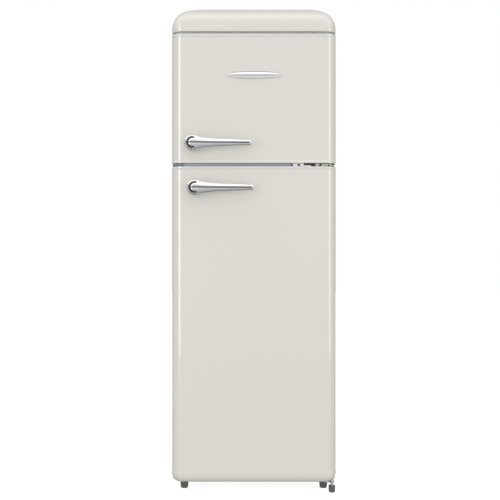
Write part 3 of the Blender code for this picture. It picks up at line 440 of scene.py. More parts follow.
def makeLights():
    for name, design in lightDesign.items():
        data = bpy.data.lights.new(name, "AREA")
        data.shape = "RECTANGLE"
        data.size, data.size_y = design["size"]
        data.energy = design["power"]
        light = linked(name, data)
        light.location = design["place"]
        aim = Vector((0, 0, 0.9)) - light.location
        light.rotation_euler = aim.to_track_quat("-Z", "Y").to_euler()
        light.visible_camera = False


def makeRoom():
    # white to look at and to light by; gloss sees a pale room that is darker ahead and beside
    design = roomDesign
    world = bpy.data.worlds.new("paleStudio")
    bpy.context.scene.world = world
    world.use_nodes = True
    room = Bench(world.node_tree)
    direction = room.add("ShaderNodeTexCoord", out="Generated")
    split = room.add("ShaderNodeSeparateXYZ", None, {0: direction})
    x, y, z = split, room.other(split, "Y"), room.other(split, "Z")

    def ramp(value, start, end):
        settings = {"interpolation_type": "SMOOTHSTEP", "clamp": True}
        return room.add("ShaderNodeMapRange", settings, {"Value": value, "From Min": start, "From Max": end})

    stops = [(place, (tone,) * 3) for place, tone in design["mirror"]]
    mirror = room.add("ShaderNodeValToRGB", {"stops": stops}, {"Fac": z * 0.5 + 0.5}) * design["gain"]
    mirror = mirror * (1 - ramp(y, -0.05, 0.55) * design["behindLoss"])
    beside = ramp(abs(x), 0.70, 0.88) * (1 - ramp(abs(z), 0.25, 0.55))
    mirror = mirror * (1 - beside) + beside * design["sides"]
    path = room.add("ShaderNodeLightPath", out="Is Camera Ray")
    matt = room.other(path, "Is Diffuse Ray")
    loss = ramp(abs(x), 0.35, 1.0) * design["sideLoss"] + ramp(-z, 0.05, 0.9) * design["lowLoss"]
    mirror = mirror * (1 - matt) + matt * (1 - loss) * design["even"]
    tone = mirror * (1 - path) + path
    grey = room.add("ShaderNodeCombineColor", None, {0: tone, 1: tone, 2: tone})
    room.feed(world.node_tree.nodes["Background"].inputs["Color"], grey)


makeCamera()
makeFloor()
makeLights()
makeRoom()
bpy.context.scene.view_settings.view_transform = "Standard"
print("camera, floor and light made")


# ---- crown: the cabinet's top, rolled over at its front, sides and back

crownDesign = {"sideRadius": 0.070, "frontRadius": 0.045, "backRadius": 0.020, "wall": 0.003,
               "cornerRadius": 0.036, "lip": 0.0015, "steps": 20}
doorEdge = 0.036  # round upright edges of both doors and of the crown


def dropIn(radius, rise):
    rise = min(max(rise, 0.0), radius)
    return radius - sqrt(radius * radius - rise * rise)


def roundPlan(half, front, back, frontRadius, backRadius, steps):
    low, high = front + frontRadius, back - backRadius
    inner, rear = half - frontRadius, half - backRadius
    return (arc((-inner, low), frontRadius, 180, 270, steps) + arc((inner, low), frontRadius, 270, 360, steps)
            + arc((rear, high), backRadius, 0, 90, steps // 2)
            + arc((-rear, high), backRadius, 90, 180, steps // 2))


def crownRings(low, high, shrink):
    design = crownDesign
    lip, sideRadius = design["lip"], design["sideRadius"]
    start = high[2] - sideRadius
    levels = [(low[2], lip * 0.9), (low[2] + lip * 0.3, lip * 0.3), (low[2] + lip, 0.0)]
    levels += [(start + sideRadius * sin(turn), 0.0) for turn in quarter(design["steps"])]
    rings = []
    for level, tuck in levels:
        side, front, back = (dropIn(radius, level - high[2] + radius) + shrink + tuck for radius in
                             (sideRadius, design["frontRadius"], design["backRadius"]))
        plan = roundPlan(high[0] - side, low[1] + front, high[1] - back,
                         design["cornerRadius"], design["backRadius"], 14)
        top = min(level, high[2] - shrink)
        rings.append([(x, y, top) for x, y in plan])
    return rings


def makeCrown():
    low, high = endsOf("top_cap")
    inner, outer = crownRings(low, high, crownDesign["wall"]), crownRings(low, high, 0.0)
    Form().loft(inner[::-1] + outer).piece("crownCap", enamel, "top_cap", crease=50)


makeCrown()
print("crown made")


# ---- door skins and the strips that end them

skinDesign = {"sheet": 0.0015, "edge": 0.00008, "reach": 0.00014, "steps": 20}
stripDesign = {"round": 0.0010, "seam": 0.00008, "steps": 5}
curvedEndDesign = {"height": 0.0285, "sideDraw": 0.019, "tighten": 0.012, "steps": 16, "seam": 0.0003,
                   "bead": 0.0022, "beadSunk": 0.0008, "beadRise": 0.0016}


def doorPath(half, front, back, inset, radius, steps):
    # from the left back edge round the front to the right back edge
    radius = max(radius - inset, 0.004)
    half, front = half - inset, front + inset
    return ([(-half, back)] + arc((-half + radius, front + radius), radius, 180, 270, steps)
            + arc((half - radius, front + radius), radius, 270, 360, steps) + [(half, back)])


def doorRing(node, inset, level=None, back=0.0, steps=20):
    # the path round a door part's CAD box; with a level its points are (x, y, z)
    low, high = endsOf(node)
    path = doorPath(high[0], low[1], high[1] - back, inset, doorEdge, steps)
    return path if level is None else [(x, y, level) for x, y in path]


def makeSkin(name, node, body):
    edge, reach = skinDesign["edge"], skinDesign["reach"]
    paths = [doorRing(node, inset, steps=skinDesign["steps"]) for inset in (0.0, edge, skinDesign["sheet"])]
    start, end = lowOf(node)[2] - reach, highOf(node)[2] + reach
    rings = [[(*outer, start + edge), (*outer, end - edge), (*soft, end),
              (*inner, end), (*inner, start), (*soft, start)] for outer, soft, inner in zip(*paths)]
    Form().loft(rings).piece(name, enamel, node, body, crease=25)


def makeEndStrip(name, node, body, outwardUp):
    # flat strip with a round outer edge and a fine seam against the skin
    low, high = lowOf(node)[2], highOf(node)[2]
    radius, seam = stripDesign["round"], stripDesign["seam"]
    curve = [(radius * (1 - cos(t)), radius * (1 - sin(t))) for t in quarter(stripDesign["steps"])]
    if outwardUp:
        levels = [(low, seam), (low + seam, 0.0)] + [(high - rise, inset) for inset, rise in curve]
    else:
        levels = [(low + rise, inset) for inset, rise in curve][::-1] + [(high - seam, 0.0), (high, seam)]
    rings = [doorRing(node, inset, level) for level, inset in levels]
    Form().loft(rings).piece(name, enamel, node, body, crease=50)


def makeCurvedEnd():
    # the fridge door's lower end rolls under at its front and sides
    design = curvedEndDesign
    node, body = "fridge_door_lower_end", "fridge_door"
    low, high = endsOf(node)
    rings = []
    for turn in quarter(design["steps"]):
        drop = sin(turn)
        draw = 1 - sqrt(max(0.0, 1 - drop * drop))
        plan = doorPath(high[0] - design["sideDraw"] * draw, low[1] + design["height"] * draw, high[1], 0.0,
                        doorEdge - design["tighten"] * draw, 20)
        level = high[2] - design["seam"] - (design["height"] - design["seam"]) * drop
        rings.append([(x, y, level) for x, y in plan])
    rings = rings[::-1] + [doorRing(node, design["seam"], high[2])]
    Form().loft(rings).piece("fridgeDoorCurvedEnd", enamel, node, body, crease=50)
    bead = doorRing(node, design["beadSunk"], high[2] + design["beadRise"], design["bead"])
    Form().tube(bead, design["bead"], 14).piece("fridgeDoorBead", enamel, body=body)


makeSkin("freezerDoorSkin", "freezer_door_skin", "freezer_door")
makeSkin("fridgeDoorSkin", "fridge_door_skin", "fridge_door")
makeEndStrip("freezerDoorTopStrip", "freezer_door_upper_end", "freezer_door", True)
makeEndStrip("freezerDoorLowStrip", "freezer_door_lower_end", "freezer_door", False)
makeEndStrip("fridgeDoorTopStrip", "fridge_door_upper_end", "fridge_door", True)
makeCurvedEnd()
print("doors made")


# ---- lever handles: a teardrop lever with a crescent seam in its bulb, on a turned foot

leverDesign = {
    "bulb": 0.0265, "bulbDepth": 0.021, "depth": 0.015, "thinning": 0.004, "tipRound": 0.0045,
    "outline": ((0.150, 0.905), (0.190, 0.832), (0.212, 0.766), (0.245, 0.706), (0.300, 0.645),
                (0.390, 0.570), (0.490, 0.524), (0.610, 0.487), (0.720, 0.448), (0.840, 0.408),
                (0.940, 0.374), (1.000, 0.356)),
    "seamRadius": 0.0165, "seamWidth": 0.0098, "seamDepth": 0.0021, "seamOpen": 62, "blendLength": 0.030,
    "lineHalf": 0.0021, "lineDepth": 0.0007, "around": 72, "past": 0.0006,
}
footDesign = {"rings": ((0.0218, -0.0001), (0.0220, -0.0008), (0.0220, -0.0034), (0.0212, -0.0046),
                        (0.0180, -0.0066), (0.0160, -0.0082), (0.0136, -0.0110), (0.0122, -0.0150),
                        (0.0118, -0.0190), (0.0104, -0.0229)), "sunk": 0.0003}


def leverSize(along, length):
    # half height and half depth of the lever at a distance from its round end
    design = leverDesign
    radius, outline, tipRound = design["bulb"], design["outline"], design["tipRound"]
    roundHeight = sqrt(max(radius * radius - (along - radius) ** 2, 0.0))
    share, neck = along / length, 0.0
    for k in range(len(outline) - 1):
        (start, tall), (end, short) = outline[k], outline[k + 1]
        if start <= share <= end:
            before = outline[max(k - 1, 0)]
            after = outline[min(k + 2, len(outline) - 1)]
            t, span = (share - start) / (end - start), end - start
            slopeIn = (short - before[1]) / (end - before[0]) * span
            slopeOut = (after[1] - tall) / (after[0] - start) * span
            neck = radius * ((2 * t ** 3 - 3 * t * t + 1) * tall + (t ** 3 - 2 * t * t + t) * slopeIn
                             + (3 * t * t - 2 * t ** 3) * short + (t ** 3 - t * t) * slopeOut)
    bar = (design["depth"] - design["thinning"] * share) / 2
    dome = design["bulbDepth"] / 2 * (roundHeight / radius if along < radius else 1.0)
    t = min(max((along - radius) / design["blendLength"], 0.0), 1.0)
    depth = dome + (bar - dome) * t * t * (3 - 2 * t) if along > radius else dome
    tip = min((length - along) / tipRound, 1.0)
    loss = tipRound * (1 - sqrt(1 - (1 - tip) ** 2)) * 0.9
    return max(roundHeight, neck) - loss, depth - loss


def makeLever(name, node, body):
    # rings along X; the groove and the seam are pressed in, then painted dark: a painted reflection along the
    # axis and painted shade and reflection in the crescent
    design = leverDesign
    bulb, tipRound, seamRadius, count = (design[key] for key in ("bulb", "tipRound", "seamRadius", "around"))
    low, high = lowOf(node) - Vector((design["past"], 0, 0)), highOf(node)
    length = high[0] - low[0]
    _, centreY, axisZ = middleOf(node)
    centreX = low[0] + bulb
    stations = [bulb * (1 - cos(pi * share)) for share in spread(0.03, 0.60, 56)]
    stations += spread(stations[-1], length - tipRound, 80)[1:]
    stations += [length - tipRound * (1 - t) for t in (0.15, 0.3, 0.45, 0.6, 0.75, 0.88, 0.96, 1)]
    lineStart = centreX - seamRadius + design["seamWidth"] * 0.3
    lineEnd = low[0] + length - tipRound

    def polar(x, z):
        # distance from the bulb's centre, and the angle from the lever's length
        return hypot(x - centreX, z), degrees(atan2(abs(z), x - centreX))

    rings = []
    for along in stations:
        half, depth = leverSize(along, length)
        ring = []
        for i in range(count):
            turn, off = 2 * pi * i / count, i - count // 2
            if abs(off) <= 2:
                turn = pi + asin(off / 2 * design["lineHalf"] / max(half, 0.003))
            x, z = low[0] + along, half * sin(turn)
            y = centreY + depth * cos(turn)
            if abs(off) < 2 and lineStart < x < lineEnd:
                y += design["lineDepth"] * (1 - off * off * 0.25)
            reach, turned = polar(x, z)
            across = abs(reach - seamRadius) / (design["seamWidth"] / 2)
            if cos(turn) < 0 and across < 1:
                fade = min(max((turned - design["seamOpen"]) / 14, 0.0), 1.0)
                y += design["seamDepth"] * fade * (0.5 + 0.5 * cos(pi * across))
            ring.append((x, y, axisZ + z))
        rings.append(ring)
    made = Form().loft(rings).piece(name, chrome, node, body, crease=60)
    # faces in the crescent take painted shade and reflection, faces on the axis line a painted reflection
    made.data.materials.append(darkSeam)
    for face in made.data.polygons:
        x, y, z = face.center
        reach, turned = polar(x, z - axisZ)
        swell = 0.5 + 0.5 * sin(radians(max(turned - design["seamOpen"], 0.0) * 0.76))
        near = abs(reach - seamRadius) < design["seamWidth"] * 0.44 * swell
        onPaintedReflection = abs(z - axisZ) < design["lineHalf"] * 0.98 and lineStart < x < lineEnd
        if y < centreY and (onPaintedReflection or near and turned > design["seamOpen"] + 4):
            face.material_index = 1


def makeHandleFoot(name, node, body):
    centre = middleOf(node)
    centre[1] = highOf(node)[1] + footDesign["sunk"]
    rings = [(radius, along - footDesign["sunk"]) for radius, along in footDesign["rings"]]
    Form().turned(rings, centre, "Y", 56).piece(name, chrome, node, body)


for which in ("freezer", "fridge"):
    makeLever(which + "Lever", which + "_handle_lever", which + "_door")
    makeHandleFoot(which + "LeverFoot", which + "_handle_base", which + "_door")
print("handles made")


# ---- emblem: a plain lens-shaped chrome bar with a raised rim

emblemDesign = {
    "steps": 96,  # and (share of its half height inwards, share of its thickness outwards)
    "profile": ((0.0, 0.0), (0.0, 0.35), (0.05, 0.75), (0.12, 0.97), (0.20, 1.0), (0.30, 0.92), (0.38, 0.60),
                (0.50, 0.62), (0.70, 0.80), (0.96, 0.9)),
}


def makeEmblem():
    node = "freezer_door_emblem"
    low, high = endsOf(node)
    halfX, halfY, halfZ = (high - low) * 0.5
    turns = [2 * pi * i / emblemDesign["steps"] for i in range(emblemDesign["steps"])]
    rings = []
    for inward, raised in emblemDesign["profile"]:
        a, b = halfX - halfZ * inward, halfZ * (1 - inward)
        y = high[1] - 2 * halfY * raised
        rings.append([(a * cos(t), y, middleOf(node)[2] + b * sin(t)) for t in turns])
    Form().loft(rings).piece("freezerEmblem", chrome, node, "freezer_door", crease=40)


makeEmblem()
print("emblem made")


# ---- helpers for grown pieces (Geometry Nodes) and for copies of CAD nodes with soft edges

def takeMesh(host):
    # the mesh that a helper object evaluates to; the helper goes
    mesh = bpy.data.meshes.new_from_object(host.evaluated_get(bpy.context.evaluated_depsgraph_get()))
    bpy.data.objects.remove(host)
    return mesh


def grow(name, build, inputs, material, node=None, body="cabinet", points=((0, 0, 0),), crease=32):
    # a node tree with named inputs, evaluated once and kept as a plain mesh
    tree = bpy.data.node_groups.new(name + "Tree", "GeometryNodeTree")
    tree.interface.new_socket("Geometry", in_out="INPUT", socket_type="NodeSocketGeometry")
    tree.interface.new_socket("Geometry", in_out="OUTPUT", socket_type="NodeSocketGeometry")
    kinds = {int: "NodeSocketInt", float: "NodeSocketFloat", tuple: "NodeSocketVector"}
    identifiers = {}
    for key, value in inputs.items():
        made = tree.interface.new_socket(key, in_out="INPUT", socket_type=kinds[type(value)])
        identifiers[key] = made.identifier
    bench = Bench(tree)
    entry = tree.nodes.new("NodeGroupInput")
    bench.inputs = {key: Wire(bench, entry.outputs[key]) for key in ("Geometry", *inputs)}
    shape = build(bench)
    plain = bench.add("GeometryNodeRealizeInstances", None, {"Geometry": shape})
    leaving = tree.nodes.new("NodeGroupOutput")
    bench.feed(leaving.inputs["Geometry"], plain)
    seed = bpy.data.meshes.new(name + "Seed")
    seed.from_pydata([tuple(point) for point in points], [], [])
    host = linked(name + "Host", seed)
    modifier = host.modifiers.new("grow", "NODES")
    modifier.node_group = tree
    for key, value in inputs.items():
        modifier[identifiers[key]] = value
    mesh = takeMesh(host)
    mesh.name = name
    return settle(name, mesh, material, node, body, crease)


def softened(name, node, material, width, segments=2, body="cabinet", slotName=None):
    # a copy of a CAD node, merged and with its edges rounded
    copy = bmesh.new()
    copy.from_mesh(cadNodes[node].data)
    bmesh.ops.remove_doubles(copy, verts=copy.verts, dist=1e-6)
    bmesh.ops.dissolve_limit(copy, angle_limit=radians(1), verts=copy.verts, edges=copy.edges)
    sharp = [e for e in copy.edges if len(e.link_faces) == 2 and e.calc_face_angle(0) > radians(35)]
    bmesh.ops.bevel(copy, geom=sharp, offset=width, segments=segments, affect="EDGES", profile=0.5,
                    clamp_overlap=True)
    Form(copy).piece(name, material, node, body, 35, slotName)


def rod(bench, sides, length):
    values = {"Vertices": sides, "Side Segments": 1, "Radius": bench.inputs["Radius"], "Depth": length}
    return bench.add("GeometryNodeMeshCylinder", {"fill_type": "NGON"}, values, "Mesh")


def moved(bench, shape, **values):
    return bench.add("GeometryNodeTransform", None, {"Geometry": shape, **values})


def vector(bench, x=0.0, y=0.0, z=0.0):
    return bench.add("ShaderNodeCombineXYZ", None, {0: x, 1: y, 2: z})


def boolean(bench, operation, *groups):
    # an exact Boolean of its two geometry inputs, each given as a number and its shapes
    node = bench.add("GeometryNodeMeshBoolean", {"operation": operation, "solver": "EXACT"}).socket.node
    for index, shapes in groups:
        for shape in shapes:
            bench.tree.links.new(shape.socket, node.inputs[index])
    return Wire(bench, node.outputs[0])


def screwTree(bench):
    # a pan head with a cross recess, one for each point, turned by the inputs
    radius, height = bench.inputs["Radius"], bench.inputs["Height"]
    dome = bench.add("GeometryNodeMeshUVSphere", None, {"Segments": 20, "Rings": 8, "Radius": 1.0}, "Mesh")
    dome = moved(bench, dome, Scale=vector(bench, radius, radius, height * 0.75),
                 Translation=vector(bench, z=height * 0.5))
    bar = bench.add("GeometryNodeMeshCube", None,
                    {"Size": vector(bench, radius * 1.25, radius * 0.22, height * 0.5)}, "Mesh")
    lift = vector(bench, z=height * 1.2)
    bars = [moved(bench, bar, Translation=lift, Rotation=(0.0, 0.0, turn)) for turn in (0.0, pi / 2)]
    head = boolean(bench, "UNION", (1, (rod(bench, 20, height), dome)))
    head = boolean(bench, "DIFFERENCE", (0, (head,)), (1, bars))
    values = {"Points": bench.inputs["Geometry"], "Instance": head, "Rotation": bench.inputs["Turn"]}
    return bench.add("GeometryNodeInstanceOnPoints", None, values)


def row(bench, shape):
    # copies of a shape shared out between two ends
    values = {"Count": bench.inputs["Count"], "Start Location": bench.inputs["Start"],
              "Offset": bench.inputs["End"]}
    line = bench.add("GeometryNodeMeshLine", {"mode": "END_POINTS", "count_mode": "TOTAL"}, values, "Mesh")
    return bench.add("GeometryNodeInstanceOnPoints", None, {"Points": line, "Instance": shape})


def ribTree(bench):
    # upright ribs in a row along X
    return row(bench, bench.add("GeometryNodeMeshCube", None, {"Size": bench.inputs["Rib"]}, "Mesh"))


def wireTree(bench):
    # upright wires across the condenser
    return row(bench, rod(bench, wireDesign["sides"], bench.inputs["Length"]))


def channelTree(bench):
    # the pressed refrigerant channels of the evaporator, level runs one above another
    level = moved(bench, rod(bench, 12, bench.inputs["Length"]), Rotation=(0.0, pi / 2, 0.0))
    return row(bench, level)


def screws(name, points, size, turn):
    inputs = {"Radius": size[0], "Height": size[1], "Turn": turn}
    grow(name, screwTree, inputs, zinc, points=points)


facingFront = (pi / 2, 0.0, 0.0)  # a screw's head towards -Y
facingBack = (-pi / 2, 0.0, 0.0)
facingUp = (0.0, 0.0, 0.0)
facingDown = (pi, 0.0, 0.0)


# ---- strip between the doors, its end pieces, and the seal under the crown

railDesign = {"edge": 0.0008, "endCap": 0.035, "capRadius": 0.0050, "capBehind": 0.0062, "capDeep": 0.052,
              "capLap": 0.003, "faceHalf": 0.0050, "faceThick": 0.0016, "faceSunk": 0.0006, "faceEdge": 0.0006,
              "faceLap": 0.004}
crownSealDesign = {"radius": 0.0026, "behind": 0.0085, "sideBehind": 0.0075, "deep": 0.055, "raised": 0.0006}
gapMiddle = (lowOf("freezer_door_lower_end")[2] + highOf("fridge_door_upper_end")[2]) / 2
hingeEnd = lowOf("middle_hinge")[0]


def makeRail():
    design = railDesign
    # the strip, a face brought forward into the door gap and the end caps, all in blue-grey that is partly
    # painted shade of the gap
    softened("gapRail", "mullion_rail", stripBlueAndPaintedShade, design["edge"])
    low = lowOf("mullion_rail")
    stop, half = low[0] + design["endCap"], design["faceHalf"]
    Form().block((stop - design["faceLap"], low[1] - design["faceThick"], gapMiddle - half),
                 (hingeEnd + gapDesign["block"][0], low[1] + design["faceSunk"], gapMiddle + half),
                 design["faceEdge"]).piece("gapRailFace", stripBlueAndPaintedShade)
    side, front = highOf("freezer_door_skin")[0], lowOf("freezer_door_skin")[1] + design["capBehind"]
    path = doorPath(side - design["capBehind"], front, low[1] + design["capDeep"], 0.0,
                    doorEdge - design["capBehind"], 20)
    route = [(x, y, gapMiddle) for x, y in path if x < stop - design["capLap"]] + [(stop, front, gapMiddle)]
    Form().tube(route, design["capRadius"], 16).piece("gapRailCap", capBlueAndPaintedShade)


def makeCrownSeal():
    # a soft round seal under the crown, a little behind its front
    design = crownSealDesign
    crown = lowOf("top_cap")
    level = (crown[2] + highOf("freezer_door_upper_end")[2]) / 2 + design["raised"]
    path = doorPath(highOf("top_cap")[0] - design["sideBehind"], crown[1] + design["behind"],
                    crown[1] + design["deep"], 0.0, doorEdge - design["behind"], 16)
    points = [(x, y, level) for x, y in path]
    Form().tube(points, design["radius"], 10).piece("crownSeal", sealGrey)


makeCrownSeal()
print("crown seal made")


# ---- hinges: bevelled plates, bushes on the pins, what fills the gap in front, screws

hingeDesign = {"edge": 0.0006, "bush": 0.0072, "bore": 0.0046, "bushHeight": 0.0028, "bushRise": 0.0020}
# along from the middle hinge's left end, and above the gap's middle
gapDesign = {
    "front": -0.0251, "depth": 0.016, "edge": 0.0009,
    "block": (-0.0082, 0.0343, -0.0048, 0.0048), "packer": (0.0349, 0.0600, -0.0049, -0.0006),
    "plate": (0.0728, 0.1253, -0.0044, 0.0044),
    # the black wedge and the dark plugs below are painted shade in the gap
    "wedge": ((0.0348, 0.0006, 0.0047), (0.0550, 0.0002, 0.0045), (0.0612, -0.0040, 0.0040),
              (0.0680, -0.0048, 0.0028), (0.0722, -0.0040, 0.0004)),
    "plugs": ((-0.0052, 0.0000, 0.0030), (0.0162, 0.0006, 0.0030), (0.0188, -0.0012, 0.0032),
              (0.0880, -0.0012, 0.0034), (0.0908, 0.0008, 0.0026), (0.1168, -0.0014, 0.0030)),
}
# in from the top hinge's right rear corner, and from the bottom hinge's left rear one
hingeScrews = {
    "top": ((0.012, 0.014), (0.040, 0.014), (0.026, 0.040)), "bottom": ((0.012, 0.008), (0.034, 0.008)),
    "middle": (0.052, 0.070), "inset": 0.0042, "size": (0.0046, 0.0020), "small": (0.0031, 0.0014),
}


def makeGapPieces():
    # what fills the gap in front of the middle hinge: end block, packer and plate, a black wedge that is
    # painted shade under the hinge's tongue, and dark plugs that are painted shade in its screw recesses
    design = gapDesign
    front = lowOf("middle_hinge")[1] + design["front"]
    back = front + design["depth"]
    for name, behind, material in (("block", 0.0, mouldedWhite), ("packer", 0.0016, mouldedWhite),
                                   ("plate", 0.0008, zinc)):
        start, end, low, high = design[name]
        Form().block((hingeEnd + start, front + behind, gapMiddle + low),
                     (hingeEnd + end, back, gapMiddle + high), design["edge"]).piece(
            "gap" + name.capitalize(), material)
    # the black wedge: painted shade under the hinge's tongue
    rings = [[(hingeEnd + along, y, gapMiddle + rise)
              for y, rise in ((front, low), (back, low), (back, high), (front, high))]
             for along, low, high in design["wedge"]]
    Form().loft(rings).piece("gapWedge", blackRubber)
    # dark plugs: painted shade in the screw recesses
    plugs = Form()
    for along, rise, radius in design["plugs"]:
        profile = [(radius, 0.003), (radius, -0.0004), (radius * 0.8, -0.0009)]
        plugs.turned(profile, (hingeEnd + along, front, gapMiddle + rise), "Y", 20)
    plugs.piece("gapPlugs", blackRubber)


def jointPlace(name):
    return next(joint["pos_m"] for joint in frame["joints"] if joint["name"] == name)


def makeHinges():
    design = hingeDesign
    for which in ("top", "middle", "bottom"):
        softened(which + "Hinge", which + "_hinge", zinc, design["edge"])
    x, y, _ = jointPlace("fridge_door_hinge")
    outer, bore, tall = design["bush"], design["bore"], design["bushHeight"]
    bush = Form()
    for side in (-1, 1):
        rings = [(bore, 0.0), (outer, 0.0), (outer, 0.0016), (outer - 0.0008, tall), (bore, tall)]
        bush.turned([(radius, side * along) for radius, along in rings],
                    (x, y, gapMiddle + side * design["bushRise"]), "Z", 32)
    bush.piece("hingeBushes", blackRubber)
    spots, inset = hingeScrews, hingeScrews["inset"]
    low, high = endsOf("middle_hinge")
    points = [(low[0] + along, high[1] - inset, level) for along in spots["middle"]
              for level in (low[2] + inset, high[2] - inset)]
    screws("middleHingeScrews", points, spots["small"], facingFront)
    x, y, z = highOf("top_hinge")
    screws("topHingeScrews", [(x - right, y - behind, z) for right, behind in spots["top"]],
           spots["size"], facingUp)
    x, _, z = lowOf("bottom_hinge")
    y = highOf("bottom_hinge")[1]
    screws("bottomHingeScrews", [(x + left, y - behind, z) for left, behind in spots["bottom"]],
           spots["size"], facingDown)


makeRail()
makeHinges()
makeGapPieces()
print("gap and hinges made")


# ---- levelling feet: gripped nylon pads on threaded zinc studs

padDesign = {
    "grips": 20, "gripDepth": 0.0007, "gripBand": (0.25, 0.90), "top": 0.0265, "pinTop": 0.0225, "under": 0.006,
    "threadPitch": 0.00125, "threadDepth": 0.0004, "stud": 0.0040, "studSunk": 0.0005,
    "levels": ((0.74, 0.0), (0.80, 0.02), (0.86, 0.07), (0.905, 0.16), (0.94, 0.30), (0.965, 0.5), (0.985, 0.7),
               (1.0, 0.84), (1.0, 0.90), (0.985, 0.96), (0.95, 1.0), (0.40, 1.0)),
}


def makeFoot(name, node, body):
    design = padDesign
    low, high = endsOf(node)
    centre = (*middleOf(node)[:2], 0.0)
    radius = (high[0] - low[0]) / 2
    padTop = design["pinTop"] if body == "pin_foot" else min(design["top"], high[2] - design["under"])
    start, end = design["gripBand"]
    rings = [(radius * share, padTop * rise) for share, rise in design["levels"]]
    Form().turned(rings, centre, "Z", design["grips"] * 6,
                  (design["grips"], design["gripDepth"], padTop * start, padTop * end)).piece(
        name, footNylon, node, body)
    steps = int((high[2] - padTop) / (design["threadPitch"] / 2))
    levels = spread(padTop - design["studSunk"], high[2] - design["studSunk"], steps)
    stud = [(design["stud"] - design["threadDepth"] * (i % 2), level) for i, level in enumerate(levels)]
    Form().turned(stud, centre, "Z", 24).piece(name + "Stud", zinc, body=body)


for side in ("left", "right"):
    makeFoot("frontFoot" + side.capitalize(), "front_foot_" + side, side + "_foot")
    makeFoot("rearFoot" + side.capitalize(), "rear_foot_" + side, "cabinet")
makeFoot("hingeFoot", "hinge_foot", "pin_foot")
print("feet made")


# ---- outer wrap, back panel and base pan

wrapDesign = {"edge": 0.0006, "panEdge": 0.001}
panelDesign = {"beads": 4, "beadDepth": 0.0012, "beadWidth": 0.010, "fade": 0.05, "columns": 40,
               "screwPitch": 0.15, "screwSide": 0.010, "screwEnd": 0.012, "screw": (0.0042, 0.0018),
               "topScrews": (-0.15, 0.0, 0.15)}


def makeBackPanel():
    # galvanised sheet with pressed beads, level, above and below each other
    design = panelDesign
    low, high = endsOf("back_panel")
    wide = design["beadWidth"]
    beads = spread(low[2], high[2], design["beads"] + 1)[1:-1]
    levels = {low[2], high[2]} | {bead + share for bead in beads for share in spread(-wide, wide, 8)}
    across = [(x, min(1.0, min(x - low[0], high[0] - x) / design["fade"]))
              for x in spread(low[0], high[0], design["columns"])]
    rings = []
    for level in sorted(levels):
        away = min(min(abs(level - bead) for bead in beads) / wide, 1.0)
        press = design["beadDepth"] * (0.5 + 0.5 * cos(pi * away))
        rings.append([(x, high[1] - press * fade, level) for x, fade in across]
                     + [(x, low[1] - press * fade, level) for x, fade in across[::-1]])
    Form().loft(rings).piece("backPanel", galvanised, "back_panel")
    side, end = design["screwSide"], design["screwEnd"]
    count = int((high[2] - low[2]) / design["screwPitch"])
    spots = [(x, high[1], level) for level in spread(low[2] + end, high[2] - end, count)
             for x in (low[0] + side, high[0] - side)]
    spots += [(x, high[1], high[2] - end) for x in design["topScrews"]]
    screws("backPanelScrews", spots, design["screw"], facingBack)


softened("outerWrap", "outer_wrap", cabinetPaint, wrapDesign["edge"])
makeBackPanel()
softened("basePan", "base_pan", galvanised, wrapDesign["panEdge"], slotName="cabinet_paint")
print("cabinet shell made")


# ---- tubs: vacuum-formed liners with a flared lip, round corners and ledges for the shelves

tubDesign = {"corner": 0.018, "mouth": 0.004, "back": 0.016, "wall": 0.002, "hump": 0.014, "steps": 8,
             "turnSteps": 6, "lipCorner": 0.003, "lipEdge": 0.0003, "ledge": (0.0055, 0.0058),
             "ledgeSunk": 0.001, "ledgeEnds": 0.018, "ledgeEdge": 0.0024, "clearance": 0.0015, "seat": 0.0003,
             "behindDrawer": 0.010, "underCover": 0.008, "roundPlate": 0.020}


def roundRect(half, low, high, radius, y):
    radius = max(min(radius, half * 0.9, (high - low) * 0.45), 0.0005)
    return [(x, y, z) for x, z in roundCorners((-half, low), (half, high), radius, tubDesign["steps"])]


def tubProfile(front, back, floor, humpFront, humpTop):
    # (depth, floor level, inset all round) from the mouth to the back wall
    mouth, bend, deep = (tubDesign[key] for key in ("mouth", "hump", "back"))
    turns = quarter(tubDesign["turnSteps"])
    rows = [(front + mouth * (1 - cos(t)), floor, mouth * (sin(t) - 1)) for t in turns]
    if humpFront:
        rows += [(humpFront - bend + bend * sin(t), floor + bend - bend * cos(t), 0.0)
                 for t in turns]
        rows += [(humpFront + bend - bend * cos(t), humpTop - bend + bend * sin(t), 0.0)
                 for t in turns]
        floor = humpTop
    rows += [(back - deep * (1 - sin(t)), floor, deep * (1 - cos(t))) for t in turns]
    return rows


def makeTub(name, node, half, floor, ceiling, ledges, hump=(0, 0)):
    design = tubDesign
    wall, corner = design["wall"], design["corner"]
    low, high = endsOf(node)
    front, back = low[1], high[1] - wall
    rows = tubProfile(front, back, floor, *hump)
    inner = [roundRect(half - inset, level + inset, ceiling - inset, corner - inset * 0.4, y)
             for y, level, inset in rows]
    outer = []
    for y, level, inset in rows[design["turnSteps"]:]:
        past = wall if level > floor + 0.0001 or y > back - design["back"] else 0.0
        outer.append(roundRect(half - inset + wall, level + inset - wall, ceiling - inset + wall,
                               corner + wall - inset * 0.4, max(y, front + wall) + past))
    edge = design["lipEdge"]
    lip = [roundRect(high[0] - inset, low[2] + inset, high[2] - inset, design["lipCorner"], y)
           for inset, y in ((0.0, front + wall), (0.0, front + edge), (edge, front))]
    form = Form().loft(outer[::-1] + lip + inner)
    deep, tall = design["ledge"]
    start = lowOf("freezer_shelf")[1] + design["ledgeEnds"]
    for level in ledges:
        for side in (-1, 1):
            left, right = sorted((side * (half + design["ledgeSunk"]), side * (half - deep)))
            form.block((left, start, level - tall), (right, back - design["ledgeEnds"], level),
                       design["ledgeEdge"], 3)
    form.piece(name, linerWhite, node, crease=40)


